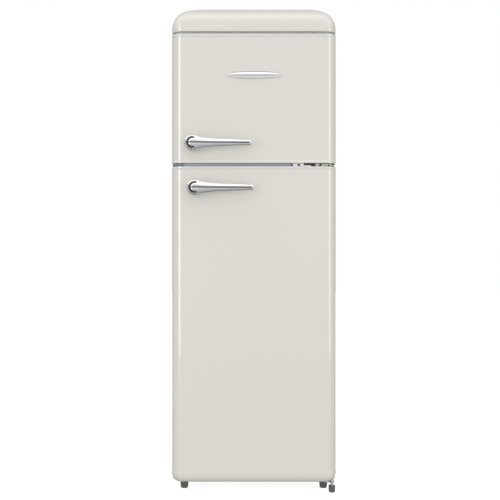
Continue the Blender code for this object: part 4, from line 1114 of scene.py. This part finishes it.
def makeTubs():
    # sized from what stands in them
    clearance, seat = tubDesign["clearance"], tubDesign["seat"]
    half = highOf("shelf_lower")[0] + clearance
    ledges = [lowOf(node)[2] - seat for node in ("shelf_lower", "shelf_middle", "shelf_upper", "crisper_cover")]
    hump = (highOf("crisper_drawer")[1] + tubDesign["behindDrawer"],
            lowOf("crisper_cover")[2] - tubDesign["underCover"])
    makeTub("fridgeTub", "fridge_liner", half, lowOf("crisper_drawer")[2] - clearance,
            highOf("thermostat_housing")[2] + seat, ledges, hump)
    around = tubDesign["roundPlate"]
    makeTub("freezerTub", "freezer_liner", half, lowOf("evaporator_plate")[2] - around,
            highOf("evaporator_plate")[2] + around, [lowOf("freezer_shelf")[2] - seat])


makeTubs()
print("tubs made")


# ---- door liners: a pressed sheet with a raised pan, bin ridges and dikes

doorLinerDesign = {"sheet": 0.0027, "edge": 0.0008, "ridge": 0.0045, "lowDike": 0.013, "topDike": 0.020,
                   "sunk": 0.002, "lap": 0.004, "ends": 0.001}


def makeDoorLiner(name, node, body):
    # the ridges and dikes stand where the CAD liner has its own
    design = doorLinerDesign
    low, high = endsOf(node)
    plate = low[1] + design["sheet"]
    form = Form().block(low, (high[0], plate, high[2]), design["edge"])
    points = [vert.co for vert in cadNodes[node].data.vertices]
    raised = [point for point in points if point.y > high[1] - 0.0002]
    levels = sorted({round(point.z, 4) for point in raised})
    xs = sorted({round(abs(point.x), 4) for point in raised})
    crossY = max(point.y for point in points if point.y < high[1] - 0.005)
    inner, outer, edge, foot = xs[0], xs[-1], design["ridge"], plate - design["sunk"]
    for side in (-1, 1):
        left, right = sorted((side * inner, side * outer))
        form.block((left, foot, levels[0]), (right, high[1], levels[-1]), edge, 4)
    reach, start, end = inner + design["lap"], levels[0] + design["ends"], levels[-1] - design["ends"]
    for bottom, top in ((start, start + design["lowDike"]), (end - design["topDike"], end)):
        form.block((-reach, foot, bottom), (reach, crossY, top), edge, 4)
    form.piece(name, linerWhite, node, body)


makeDoorLiner("freezerDoorLiner", "freezer_door_liner", "freezer_door")
makeDoorLiner("fridgeDoorLiner", "fridge_door_liner", "fridge_door")
print("door liners made")


# ---- gaskets: a bellows section swept round each door

gasketDesign = {"width": 0.0145, "folds": 3, "foldDepth": 0.0011, "corner": 0.006}


def gasketTree(bench):
    # the section runs round a closed route of corners
    sources = bench.inputs
    route = bench.add("GeometryNodeCurvePrimitiveQuadrilateral", {"mode": "RECTANGLE"},
                      {"Width": sources["Width"], "Height": sources["Height"]}, "Curve")
    route = bench.add("GeometryNodeFilletCurve", {"mode": "POLY"},
                      {"Curve": route, "Radius": sources["Corner"], "Count": 5}, "Curve")
    ring = bench.add("GeometryNodeCurvePrimitiveCircle", {"mode": "RADIUS"},
                     {"Resolution": 40, "Radius": 1.0}, "Curve")
    parts = bench.add("ShaderNodeSeparateXYZ", None,
                      {0: bench.add("GeometryNodeInputPosition", out="Position")})
    x, y = parts, bench.other(parts, "Y")
    # squarer than a circle, with shallow folds along the two sides
    square = 0.25 + parts.calc("MAXIMUM", abs(x), abs(y)) * 0.75
    wave = parts.calc("COSINE", y * sources["Folds"]) * 0.5 + 0.5
    spot = vector(bench, x / square * (1 - wave * sources["FoldShare"] * (abs(x) > 0.6)), y / square)
    ring = bench.add("GeometryNodeSetPosition", None, {"Geometry": ring, "Position": spot})
    ring = moved(bench, ring, Scale=vector(bench, sources["Section"], sources["Depth"], 1.0))
    swept = bench.add("GeometryNodeCurveToMesh", None, {"Curve": route, "Profile Curve": ring}, "Mesh")
    return moved(bench, swept, Rotation=(pi / 2, 0.0, 0.0), Translation=sources["Centre"])


def makeGasket(name, node, body):
    wide, deep, tall = highOf(node) - lowOf(node)
    width = gasketDesign["width"]
    inputs = {
        "Width": wide - width, "Height": tall - width, "Corner": gasketDesign["corner"],
        "Section": width / 2, "Depth": deep / 2, "Folds": pi * gasketDesign["folds"],
        "FoldShare": gasketDesign["foldDepth"] / (width / 2), "Centre": tuple(middleOf(node)),
    }
    grow(name, gasketTree, inputs, sealGrey, node, body, crease=60)


makeGasket("freezerDoorGasket", "freezer_door_gasket", "freezer_door")
makeGasket("fridgeDoorGasket", "fridge_door_gasket", "fridge_door")
print("gaskets made")


# ---- door bins: clear fronts with a rolled rim, upright ribs and a floor grid

binDesign = {"wall": 0.0020, "corner": 0.012, "rim": 0.0022, "ribPitch": 0.018, "ribDepth": 0.0012,
             "ribWidth": 0.0022, "ribEnds": 0.030, "band": (0.42, 0.60), "bandEnds": 0.012,
             "lugs": (0.008, 0.034), "lugHalf": 0.010, "lugThick": 0.003, "lugSunk": 0.0010}


def roundBox(low, high, wall, corner, rim, steps=6):
    # an open-topped tray: outer wall, rolled rim, inner wall, closed floor
    soft = wall * 0.9
    rows = [(rim + soft, low[2]), (rim + soft * 0.3, low[2] + soft * 0.3), (rim, low[2] + soft),
            (rim, high[2] - rim * 2.4), (rim * 0.3, high[2] - rim * 1.9), (0.0, high[2] - rim * 1.1),
            (rim * 0.3, high[2] - rim * 0.3), (rim, high[2]), (rim + wall * 0.7, high[2] - rim * 0.4),
            (rim + wall, high[2] - rim * 1.4), (rim + wall, low[2] + wall + 0.003),
            (rim + wall + 0.001, low[2] + wall + 0.001), (rim + wall + 0.003, low[2] + wall)]
    return Form().loft([[(x, y, level) for x, y in roundCorners(
        (low[0] + inset, low[1] + inset), (high[0] - inset, high[1] - inset),
        max(corner - inset, 0.001), steps)] for inset, level in rows])


def growRibs(name, size, pitch, room, ends, low, high, y, level, body):
    # a row of clear ribs along X between two sides, each end drawn in
    inputs = {"Rib": size, "Count": int((high - low - room) / pitch),
              "Start": (low + ends, y, level), "End": (high - ends, y, level)}
    grow(name, ribTree, inputs, clearStyrene, body=body)


def makeBin(name, node, body):
    design = binDesign
    low, high = endsOf(node)
    tall, rim = high[2] - low[2], design["rim"]
    form = roundBox(low, high, design["wall"], design["corner"], rim)
    ends, (start, end) = design["bandEnds"], design["band"]
    form.block((low[0] + ends, high[1] - rim - 0.0006, low[2] + tall * start),
               (high[0] - ends, high[1] - 0.0002, low[2] + tall * end), 0.0006)
    form.piece(name, clearStyrene, node, body)
    growRibs(name + "Ribs", (design["ribWidth"], design["ribDepth"] * 2, tall * 0.30), design["ribPitch"],
             0.05, design["ribEnds"], low[0], high[0], high[1] - rim, low[2] + tall * 0.24, body)
    lugs, middle, (start, end) = Form(), middleOf(node)[2], design["lugs"]
    for side, x in ((-1, low[0]), (1, high[0])):
        x -= side * design["lugSunk"]
        left, right = sorted((x, x - side * design["lugThick"]))
        lugs.block((left, low[1] + start, middle - design["lugHalf"]),
                   (right, low[1] + end, middle + design["lugHalf"]), 0.0010, 3)
    lugs.piece(name + "Lugs", mouldedWhite, body=body)


for binName, binNode, binBody in (
        ("freezerLowerBin", "freezer_door_lower_bin", "freezer_door"),
        ("freezerUpperBin", "freezer_door_upper_bin", "freezer_door"),
        ("bottleBin", "fridge_door_bottle_bin", "fridge_door"),
        ("fridgeMiddleBin", "fridge_door_middle_bin", "fridge_door"),
        ("fridgeUpperBin", "fridge_door_upper_bin", "fridge_door")):
    makeBin(binName, binNode, binBody)
print("bins made")


# ---- shelves: glass with seamed edges, a white front trim and a raised rear lip

shelfDesign = {"edge": 0.0012, "trimHeight": 0.011, "trimDepth": 0.010, "inset": 0.0015, "rear": 0.014}


def makeShelf(name, node, lower=0.5):
    # lower: how much of the trim's height hangs below the glass's middle
    design = shelfDesign
    low, high = endsOf(node)
    Form().block(low, high, design["edge"], 3).piece(name, shelfGlass, node)
    front, under, over, deep = low[1], low[2] - 0.0001, high[2] + 0.0001, design["trimDepth"]
    middle = middleOf(node)[2]
    bottom, top = middle - design["trimHeight"] * lower, middle + design["trimHeight"] * 0.5
    outline = [(front - 0.0022, bottom + 0.001), (front - 0.0012, bottom), (front + deep, bottom),
               (front + deep, under), (front - 0.0002, under), (front - 0.0002, over),
               (front + deep * 0.7, over), (front + deep * 0.7, top - 0.002),
               (front + deep * 0.5, top - 0.0012), (front - 0.0008, top - 0.001),
               (front - 0.0022, top - 0.003)]
    left, right = low[0] + design["inset"], high[0] - design["inset"]
    trim = Form().loft([[(x, y, z) for y, z in outline] for x in (left, right)])
    trim.block((left, high[1] - 0.004, over), (right, high[1] - 0.0005, high[2] + design["rear"]), 0.0010, 3)
    trim.block((left, high[1] - 0.012, over), (right, high[1] - 0.003, high[2] + 0.0022))
    trim.piece(name + "Trim", mouldedWhite)


makeShelf("shelfLower", "shelf_lower")
makeShelf("shelfMiddle", "shelf_middle")
makeShelf("shelfUpper", "shelf_upper")
makeShelf("crisperCover", "crisper_cover", 0.42)
makeShelf("freezerShelf", "freezer_shelf", 0.42)
print("shelves made")


# ---- crisper drawer: clear box with a moulded pull, ribs and runners

drawerDesign = {"wall": 0.0022, "corner": 0.016, "rim": 0.0030, "pullRoom": 0.008, "ribPitch": 0.022,
                "ribEnds": 0.040, "pullHalf": 0.078, "pullSteps": 12}


def makeCrisper():
    design = drawerDesign
    node, body = "crisper_drawer", "crisper"
    low, high = endsOf(node)
    front, tall, half = low[1] + design["pullRoom"], high[2] - low[2], design["pullHalf"]
    roundBox((low[0], front, low[2]), high, design["wall"], design["corner"], design["rim"]).piece(
        "crisperDrawer", clearStyrene, node, body)
    growRibs("crisperRibs", (0.0026, 0.0028, tall * 0.42), design["ribPitch"], 0.08, design["ribEnds"],
             low[0], high[0], front + design["rim"], low[2] + tall * 0.30, body)
    turns = spread(0.0, pi, design["pullSteps"])
    outline = [(front + 0.003 - deep * sin(t), high[2] - 0.0115 + rise * cos(t))
               for deep, rise, row in ((0.0105, 0.0085, turns), (0.0078, 0.0058, turns[::-1])) for t in row]
    pull = Form().loft([[(x, y, z) for y, z in outline] for x in (-half, 0.002 - half, half - 0.002, half)])
    for side in (-1, 1):
        left, right = sorted((side * (half - 0.0015), side * (half + 0.0010)))
        pull.block((left, front - 0.0076, high[2] - 0.0190), (right, front + 0.003, high[2] - 0.0035))
    pull.piece("crisperPull", mouldedWhite, body=body)


makeCrisper()


# ---- ice tray: two rows of tapered cells under a flat rim

trayDesign = {"columns": 2, "rows": 7, "web": 0.002, "taper": 0.0035, "wall": 0.0012, "edge": 0.005,
              "soft": 0.003, "box": (0.0014, 0.008, 0.0020), "under": 0.0035}


def makeIceTray():
    low, high = endsOf("ice_tray")
    design = trayDesign
    form = roundBox(low, high, *design["box"])
    web, taper, wall, edge = (design[key] for key in ("web", "taper", "wall", "edge"))
    top, foot = high[2] - design["under"], low[2] + design["under"]
    xs = spread(low[0] + edge, high[0] - edge, design["columns"])
    ys = spread(low[1] + edge, high[1] - edge, design["rows"])
    rows = ((web + taper + wall, foot - 0.0008), (web - wall * 0.2, top - 0.0015), (web * 0.4, top),
            (web + wall, top), (web + taper + wall * 2, foot + 0.001))
    for left, right in zip(xs, xs[1:]):
        for near, far in zip(ys, ys[1:]):
            form.loft([[(x, y, level) for x, y in roundCorners(
                (left + inset, near + inset), (right - inset, far - inset), design["soft"], 3)]
                for inset, level in rows])
    form.piece("iceTray", mouldedWhite, "ice_tray")


makeIceTray()
print("drawer and ice tray made")


# ---- control housing with its knob, dial marks, lamp and cover, and the light switch

housingDesign = {"edge": 0.0015, "slots": 9, "slot": (0.0030, 0.0012, 0.030), "slotEnds": 0.014,
                 "slotRise": 0.034, "coverEdge": 0.0006}
knobDesign = {
    "grips": 24, "gripDepth": 0.0006, "gripBand": (-0.0125, -0.0020),
    "rows": ((0.0040, 0.0098), (0.0040, -0.0006), (0.0160, -0.0006), (0.0163, -0.0030), (0.0155, -0.0110),
             (0.0150, -0.0130), (0.0138, -0.0142), (0.0100, -0.0146), (0.0096, -0.0140)),
    "bar": (0.0128, 0.0022), "barFoot": 0.0130, "mark": (-0.0120, -0.0040, 0.0006),
}
dialDesign = {"marks": 7, "apart": 45, "radius": 0.0215, "height": 0.0062, "thick": 0.00008, "proud": 0.0001}
lampDesign = {
    "glass": ((0.0066, 0.0135), (0.0072, 0.0160), (0.0095, 0.0190), (0.0113, 0.0230), (0.0122, 0.0280),
              (0.0121, 0.0320), (0.0110, 0.0365), (0.0088, 0.0400), (0.0056, 0.0425), (0.0020, 0.0437)),
    "thread": (0.0070, 0.0007, 0.0010, 0.0135), "turns": 16, "pin": (0.0040, 0.0002),
}


def makeControls():
    design = housingDesign
    softened("controlHousing", "thermostat_housing", mouldedWhite, design["edge"], 3)
    low, high = endsOf("thermostat_housing")
    y, level, ends = low[1] - 0.0003, low[2] + design["slotRise"], design["slotEnds"]
    inputs = {"Rib": design["slot"], "Count": design["slots"], "Start": (low[0] + ends, y, level),
              "End": (high[0] - ends, y, level)}
    grow("housingLouvres", ribTree, inputs, mouldedWhite)
    softened("lampCover", "lamp_cover", frostedCover, design["coverEdge"])
    front, centre = lowOf("thermostat_knob")[0], jointPlace("thermostat_turn")
    x, y, z = centre
    design = knobDesign
    knob = Form().turned(design["rows"], centre, "X", design["grips"] * 6,
                         (design["grips"], design["gripDepth"], *design["gripBand"]))
    half, thick = design["bar"]
    knob.block((front, y - half, z - thick), (x - design["barFoot"], y + half, z + thick), 0.0010, 3)
    knob.piece("thermostatKnob", knobWhite, "thermostat_knob", "thermostat")
    start, end, half = design["mark"]
    Form().block((front - 0.0001, y + start, z - half), (front + 0.0004, y + end, z + half), 0.0001, 1).piece(
        "knobMark", dialInk, body="thermostat")
    makeDial(x, y, z)


def makeDial(x, y, z):
    # numbers round the knob, as on any thermostat dial
    design = dialDesign
    joined = bmesh.new()
    for number in range(design["marks"]):
        turn = radians(180 - design["apart"] * number)
        data = bpy.data.curves.new("dialNumber", "FONT")
        data.body, data.size, data.extrude = str(number), design["height"], design["thick"]
        data.align_x = data.align_y = "CENTER"
        text = linked("dialNumber", data)
        bpy.context.view_layer.update()
        start = len(joined.verts)
        joined.from_mesh(takeMesh(text))
        joined.verts.ensure_lookup_table()
        level, side = z + design["radius"] * sin(turn), y + design["radius"] * cos(turn)
        for vert in joined.verts[start:]:
            along, up, out = vert.co
            vert.co = (x - design["proud"] - out, side - along, level + up)
    Form(joined).piece("dialNumbers", dialInk)


def makeLamp():
    design = lampDesign
    centre = middleOf("lamp_bulb")
    centre[1] = lowOf("lamp_bulb")[1]
    Form().turned(design["glass"], centre, "Y", 32).piece("lampBulb", pearl, "lamp_bulb")
    radius, depth, start, end = design["thread"]
    thread = [(radius - depth * (i % 2), along) for i, along in enumerate(spread(start, end, design["turns"]))]
    Form().turned([design["pin"], *thread], centre, "Y", 28).piece("lampCap", zinc)


makeControls()
makeLamp()
softened("switchHousing", "switch_housing", mouldedWhite, 0.0008, 3)
softened("switchPlunger", "light_switch_plunger", knobWhite, 0.0004, body="light_switch")
print("controls made")


# ---- condenser: serpentine tube, the wires welded across it and its bracket

coilDesign = {"radius": 0.0024, "segments": 10, "runs": 11, "turnSteps": 12, "proud": 0.0002}
wireDesign = {"radius": 0.0008, "count": 44, "sides": 6, "ends": 0.058, "past": 0.012}
bracketDesign = {"edge": 0.0008, "screwSide": 0.0075, "screwSunk": 0.0004, "screwEnds": (0.012, 0.008),
                 "screw": (0.0044, 0.0018)}


def coilRoute():
    # the serpentine's turns, read from where the tube's node lies
    low, high = endsOf("condenser_coil")
    radius, runs = coilDesign["radius"], coilDesign["runs"]
    y, outer = high[1] - radius + coilDesign["proud"], high[0] - radius
    levels = spread(low[2] + radius, high[2] - radius, runs - 1)
    bend = (levels[1] - levels[0]) / 2
    points = [(-outer, y, levels[0])]
    for run, level in enumerate(levels[:-1]):
        side = -1 if run % 2 else 1
        points += [(side * x, y, z) for x, z in
                   arc((outer - bend, level + bend), bend, -90, 90, coilDesign["turnSteps"])]
    return points + [((1 if runs % 2 else -1) * outer, y, levels[-1])]


def makeCondenser():
    Form().tube(coilRoute(), coilDesign["radius"], coilDesign["segments"]).piece(
        "condenserCoil", blackSteel, "condenser_coil")
    design, low, high = wireDesign, lowOf("condenser_coil"), highOf("condenser_coil")
    y, level = high[1] - 2 * coilDesign["radius"] - design["radius"] * 0.3, middleOf("condenser_coil")[2]
    inputs = {"Radius": design["radius"], "Length": high[2] - low[2] + design["past"],
              "Count": design["count"], "Start": (low[0] + design["ends"], y, level),
              "End": (high[0] - design["ends"], y, level)}
    grow("condenserWires", wireTree, inputs, blackSteel)
    design, low, high = bracketDesign, lowOf("condenser_bracket"), highOf("condenser_bracket")
    softened("condenserBracket", "condenser_bracket", blackSteel, design["edge"])
    under, over = design["screwEnds"]
    spots = [(side * (high[0] - design["screwSide"]), high[1] - design["screwSunk"], level)
             for side in (-1, 1) for level in (low[2] + under, high[2] - over)]
    screws("condenserScrews", spots, design["screw"], facingBack)


makeCondenser()
print("condenser made")


# ---- machine compartment: rail, compressor with its fittings, dryer and pipes, drip tray

canDesign = {
    "radius": 0.066, "seam": 0.0022, "seamWidth": 0.0030, "steps": 14, "lift": 0.010, "bowl": 0.034,
    "plate": (0.045, 0.003), "legs": (0.034, 0.012, 0.0028), "mountIn": 0.010, "mountSide": 0.036,
    "grommet": ((0.0030, 0.0), (0.0078, 0.0), (0.0082, 0.0015), (0.0066, 0.0035), (0.0080, 0.0055),
                (0.0076, 0.0072), (0.0030, 0.0075)),
    "nut": ((0.0050, 0.0076), (0.0056, 0.0080), (0.0056, 0.0100), (0.0048, 0.0108), (0.0025, 0.0110)),
}
# each pipe's radius and points; a depth in brackets is measured from the can's middle
pipeDesign = {
    "suction": (0.0032, ((-0.040, (0.045,), 0.120), (-0.046, (0.062,), 0.124), (-0.060, (0.072,), 0.150),
                         (-0.110, 0.2715, 0.185), (-0.150, 0.2715, 0.215), (-0.150, 0.2715, 0.2395))),
    "process": (0.0030, ((0.020, (0.052,), 0.098), (0.022, (0.064,), 0.100), (0.026, (0.070,), 0.112),
                         (0.030, (0.070,), 0.150))),
    "discharge": (0.0024, ((0.045, (0.040,), 0.105), (0.062, (0.058,), 0.108), (0.085, (0.072,), 0.118),
                           (0.100, 0.2755, 0.145), (0.100, 0.2775, 0.200), (0.085, 0.2790, 0.236))),
    "pinch": ((0.0030, -0.012), (0.0026, -0.006), (0.0012, 0.0), (0.0012, 0.004)),
}
# the dryer's turned outline, then its pipes' points from its axis and from its upper or lower end
dryerDesign = {
    "proud": 0.0002, "clips": (0.040, 0.075), "clip": (0.0001, 0.0012, 0.003),
    "ends": (((0.0026, 0.0), (0.0028, 0.010), (0.0032, 0.013), (0.0060, 0.019)),
             ((0.0060, 0.0955), (0.0032, 0.1015), (0.0028, 0.1045))),
    "body": ((0.0006, 0.0235), (0.0, 0.0265), (0.0, 0.088), (0.0006, 0.091)),
    "capillary": (0.0012, 8, 10, ((0.0, 0.0, -0.001), (-0.002, 0.0, 0.010), (-0.020, 0.006, 0.020),
                                  (-0.030, 0.012, 0.005), (-0.020, 0.016, -0.006), (-0.004, 0.018, 0.006),
                                  (-0.004, 0.018, 0.034))),
    "foot": (0.0024, 12, 8, ((0.0, 0.0, 0.002), (0.0, 0.0, -0.010), (0.012, 0.0, -0.022),
                             (0.040, 0.004, -0.024), (0.058, 0.010, -0.010), (0.060, 0.020, 0.040),
                             (0.060, 0.022, 0.148))),
}
terminalDesign = {
    "edge": 0.0025, "band": 0.0012, "bandHalf": 0.006, "bandEdge": 0.0004, "gland": (0.016, 0.018, 0.0135),
    "rings": ((0.0030, 0.0), (0.0092, 0.0), (0.0094, 0.0015), (0.0094, 0.0060), (0.0088, 0.0070),
              (0.0060, 0.0090), (0.0056, 0.0125), (0.0030, 0.0128)),
}
dripDesign = {"wall": 0.0018, "corner": 0.012, "rim": 0.0022}
channelDesign = {"radius": 0.0030, "share": 0.92, "count": 9, "ends": 0.020, "sunk": 0.0010}


def makeCompressor():
    # a can with a seam round its middle, on a plate with four grommets
    design, node = canDesign, "compressor"
    low, high = endsOf(node)
    _, y, middle = middleOf(node)
    radius, seam, wide = design["radius"], design["seam"], design["seamWidth"]
    base, neck, shoulder = low[2] + design["lift"], radius - seam * 1.3, middle + wide * 2
    rings = [(radius * 0.30, base), (radius * 0.62, base + 0.001)]
    rings += [(radius * (0.62 + 0.34 * sin(t)), base + design["bowl"] * (1 - cos(t)))
              for t in quarter(8)[1:]]
    rings += [(radius - seam, middle - wide * 2), (radius - seam * 0.8, middle - wide),
              (radius, middle - wide * 0.5), (radius, middle + wide * 0.5),
              (radius - seam * 0.9, middle + wide), (neck, shoulder)]
    for i in range(1, design["steps"] + 1):
        t = pi / 2 * i / (design["steps"] + 0.4)
        rings.append((neck * cos(t) ** 0.72, shoulder + (high[2] - shoulder) * sin(t)))
    form = Form().turned(rings, (0.0, y, 0.0), "Z", 64)
    deep, thick = design["plate"]
    form.block((-high[0], y - deep, low[2]), (high[0], y + deep, low[2] + thick))
    along, half, under = design["legs"]
    for x in (-along, along):
        form.block((x - half, y - along, low[2] + under), (x + half, y + along, base + 0.010), 0.002)
    form.piece("compressorCan", blackSteel, node)
    grommets, nuts = Form(), Form()
    for sideX in (-1, 1):
        for sideY in (-1, 1):
            spot = (sideX * (high[0] - design["mountIn"]), y + sideY * design["mountSide"], low[2] + thick)
            grommets.turned(design["grommet"], spot, "Z", 28)
            nuts.turned(design["nut"], spot, "Z", 6)
    grommets.piece("compressorGrommets", blackRubber)
    nuts.piece("compressorNuts", zinc)


def makePipes():
    # suction, process and discharge tubes, each on a smooth route
    middle = middleOf("compressor")[1]
    tubes = Form()
    for name in ("suction", "process", "discharge"):
        radius, points = pipeDesign[name]
        route = smoothPath([(x, middle + y[0] if isinstance(y, tuple) else y, z) for x, y, z in points])
        tubes.tube(route, radius, 12)
        if name == "process":
            tip = route[-1]
    tubes.turned(pipeDesign["pinch"], tip, "Z", 12)
    tubes.piece("compressorPipes", copper)


def makeDryer():
    design = dryerDesign
    low, high = endsOf("filter_dryer")
    x, y, _ = middleOf("filter_dryer")
    wide = (high[0] - low[0]) / 2 + design["proud"]
    foot, head = design["ends"]
    rows = [*foot, *((wide - less, along) for less, along in design["body"]), *head,
            (foot[0][0], high[2] - low[2])]
    Form().turned(rows, (x, y, low[2]), "Z", 36).piece("filterDryer", copper, "filter_dryer")
    clips, (inside, outside, half) = Form(), design["clip"]
    for level in design["clips"]:
        clips.turned([(wide + inside, -half), (wide + outside, -half), (wide + outside, half),
                      (wide + inside, half)], (x, y, low[2] + level), "Z", 36)
    clips.piece("dryerClips", galvanised)
    pipes = Form()
    for name, end in (("capillary", high[2]), ("foot", low[2])):
        radius, sides, steps, points = design[name]
        pipes.tube(smoothPath([(x + dx, y + dy, end + dz) for dx, dy, dz in points], steps), radius, sides)
    pipes.piece("dryerPipes", copper)


def makeTerminalBox():
    # a zinc band over, under and beside the box, and the lead's gland
    design = terminalDesign
    softened("terminalBox", "terminal_box", blackRubber, design["edge"], 3, slotName="black_steel")
    low, high = endsOf("terminal_box")
    middle, thick, half = (low[1] + high[1] - 0.014) / 2, design["band"], design["bandHalf"]
    left, right, lap = low[0] - thick, high[0] - 0.001, thick - 0.0002
    band = Form()
    for end, bottom, top in ((right, low[2] - thick, low[2]), (right, high[2], high[2] + thick),
                             (low[0], low[2] - lap, high[2] + lap)):
        band.block((left, middle - half, bottom), (end, middle + half, top), design["bandEdge"])
    band.piece("terminalBand", zinc)
    x, z, y = design["gland"]
    Form().turned(design["rings"], (low[0] + x, high[1] - y, low[2] + z), "Y", 12).piece(
        "terminalGland", footNylon)


def makeDripTray():
    roundBox(lowOf("drip_tray"), highOf("drip_tray"), *dripDesign.values()).piece(
        "dripTray", mouldedWhite, "drip_tray")


makeCompressor()
makePipes()
makeDryer()
makeTerminalBox()
makeDripTray()
softened("compressorRail", "compressor_rail", galvanised, 0.0008)
softened("evaporatorPlate", "evaporator_plate", millAluminium, 0.0004)


def makeTubChannels():
    # shallow relief of the evaporator's channels on the freezer tub's rear wall
    design = channelDesign
    low, high = endsOf("evaporator_plate")
    y = highOf("freezer_liner")[1] - tubDesign["wall"] + design["sunk"]
    inputs = {"Radius": design["radius"], "Length": (high[0] - low[0]) * design["share"],
              "Count": design["count"], "Start": (0.0, y, low[2] + design["ends"]),
              "End": (0.0, y, high[2] - design["ends"])}
    grow("tubChannels", channelTree, inputs, linerWhite)


makeTubChannels()
print("machine compartment made")


# ---- CAD nodes that keep their shape get their finishes

for nodeName in ("cabinet_foam", "freezer_door_foam", "fridge_door_foam"):
    for slot in cadNodes[nodeName].material_slots:
        slot.material = foamYellow
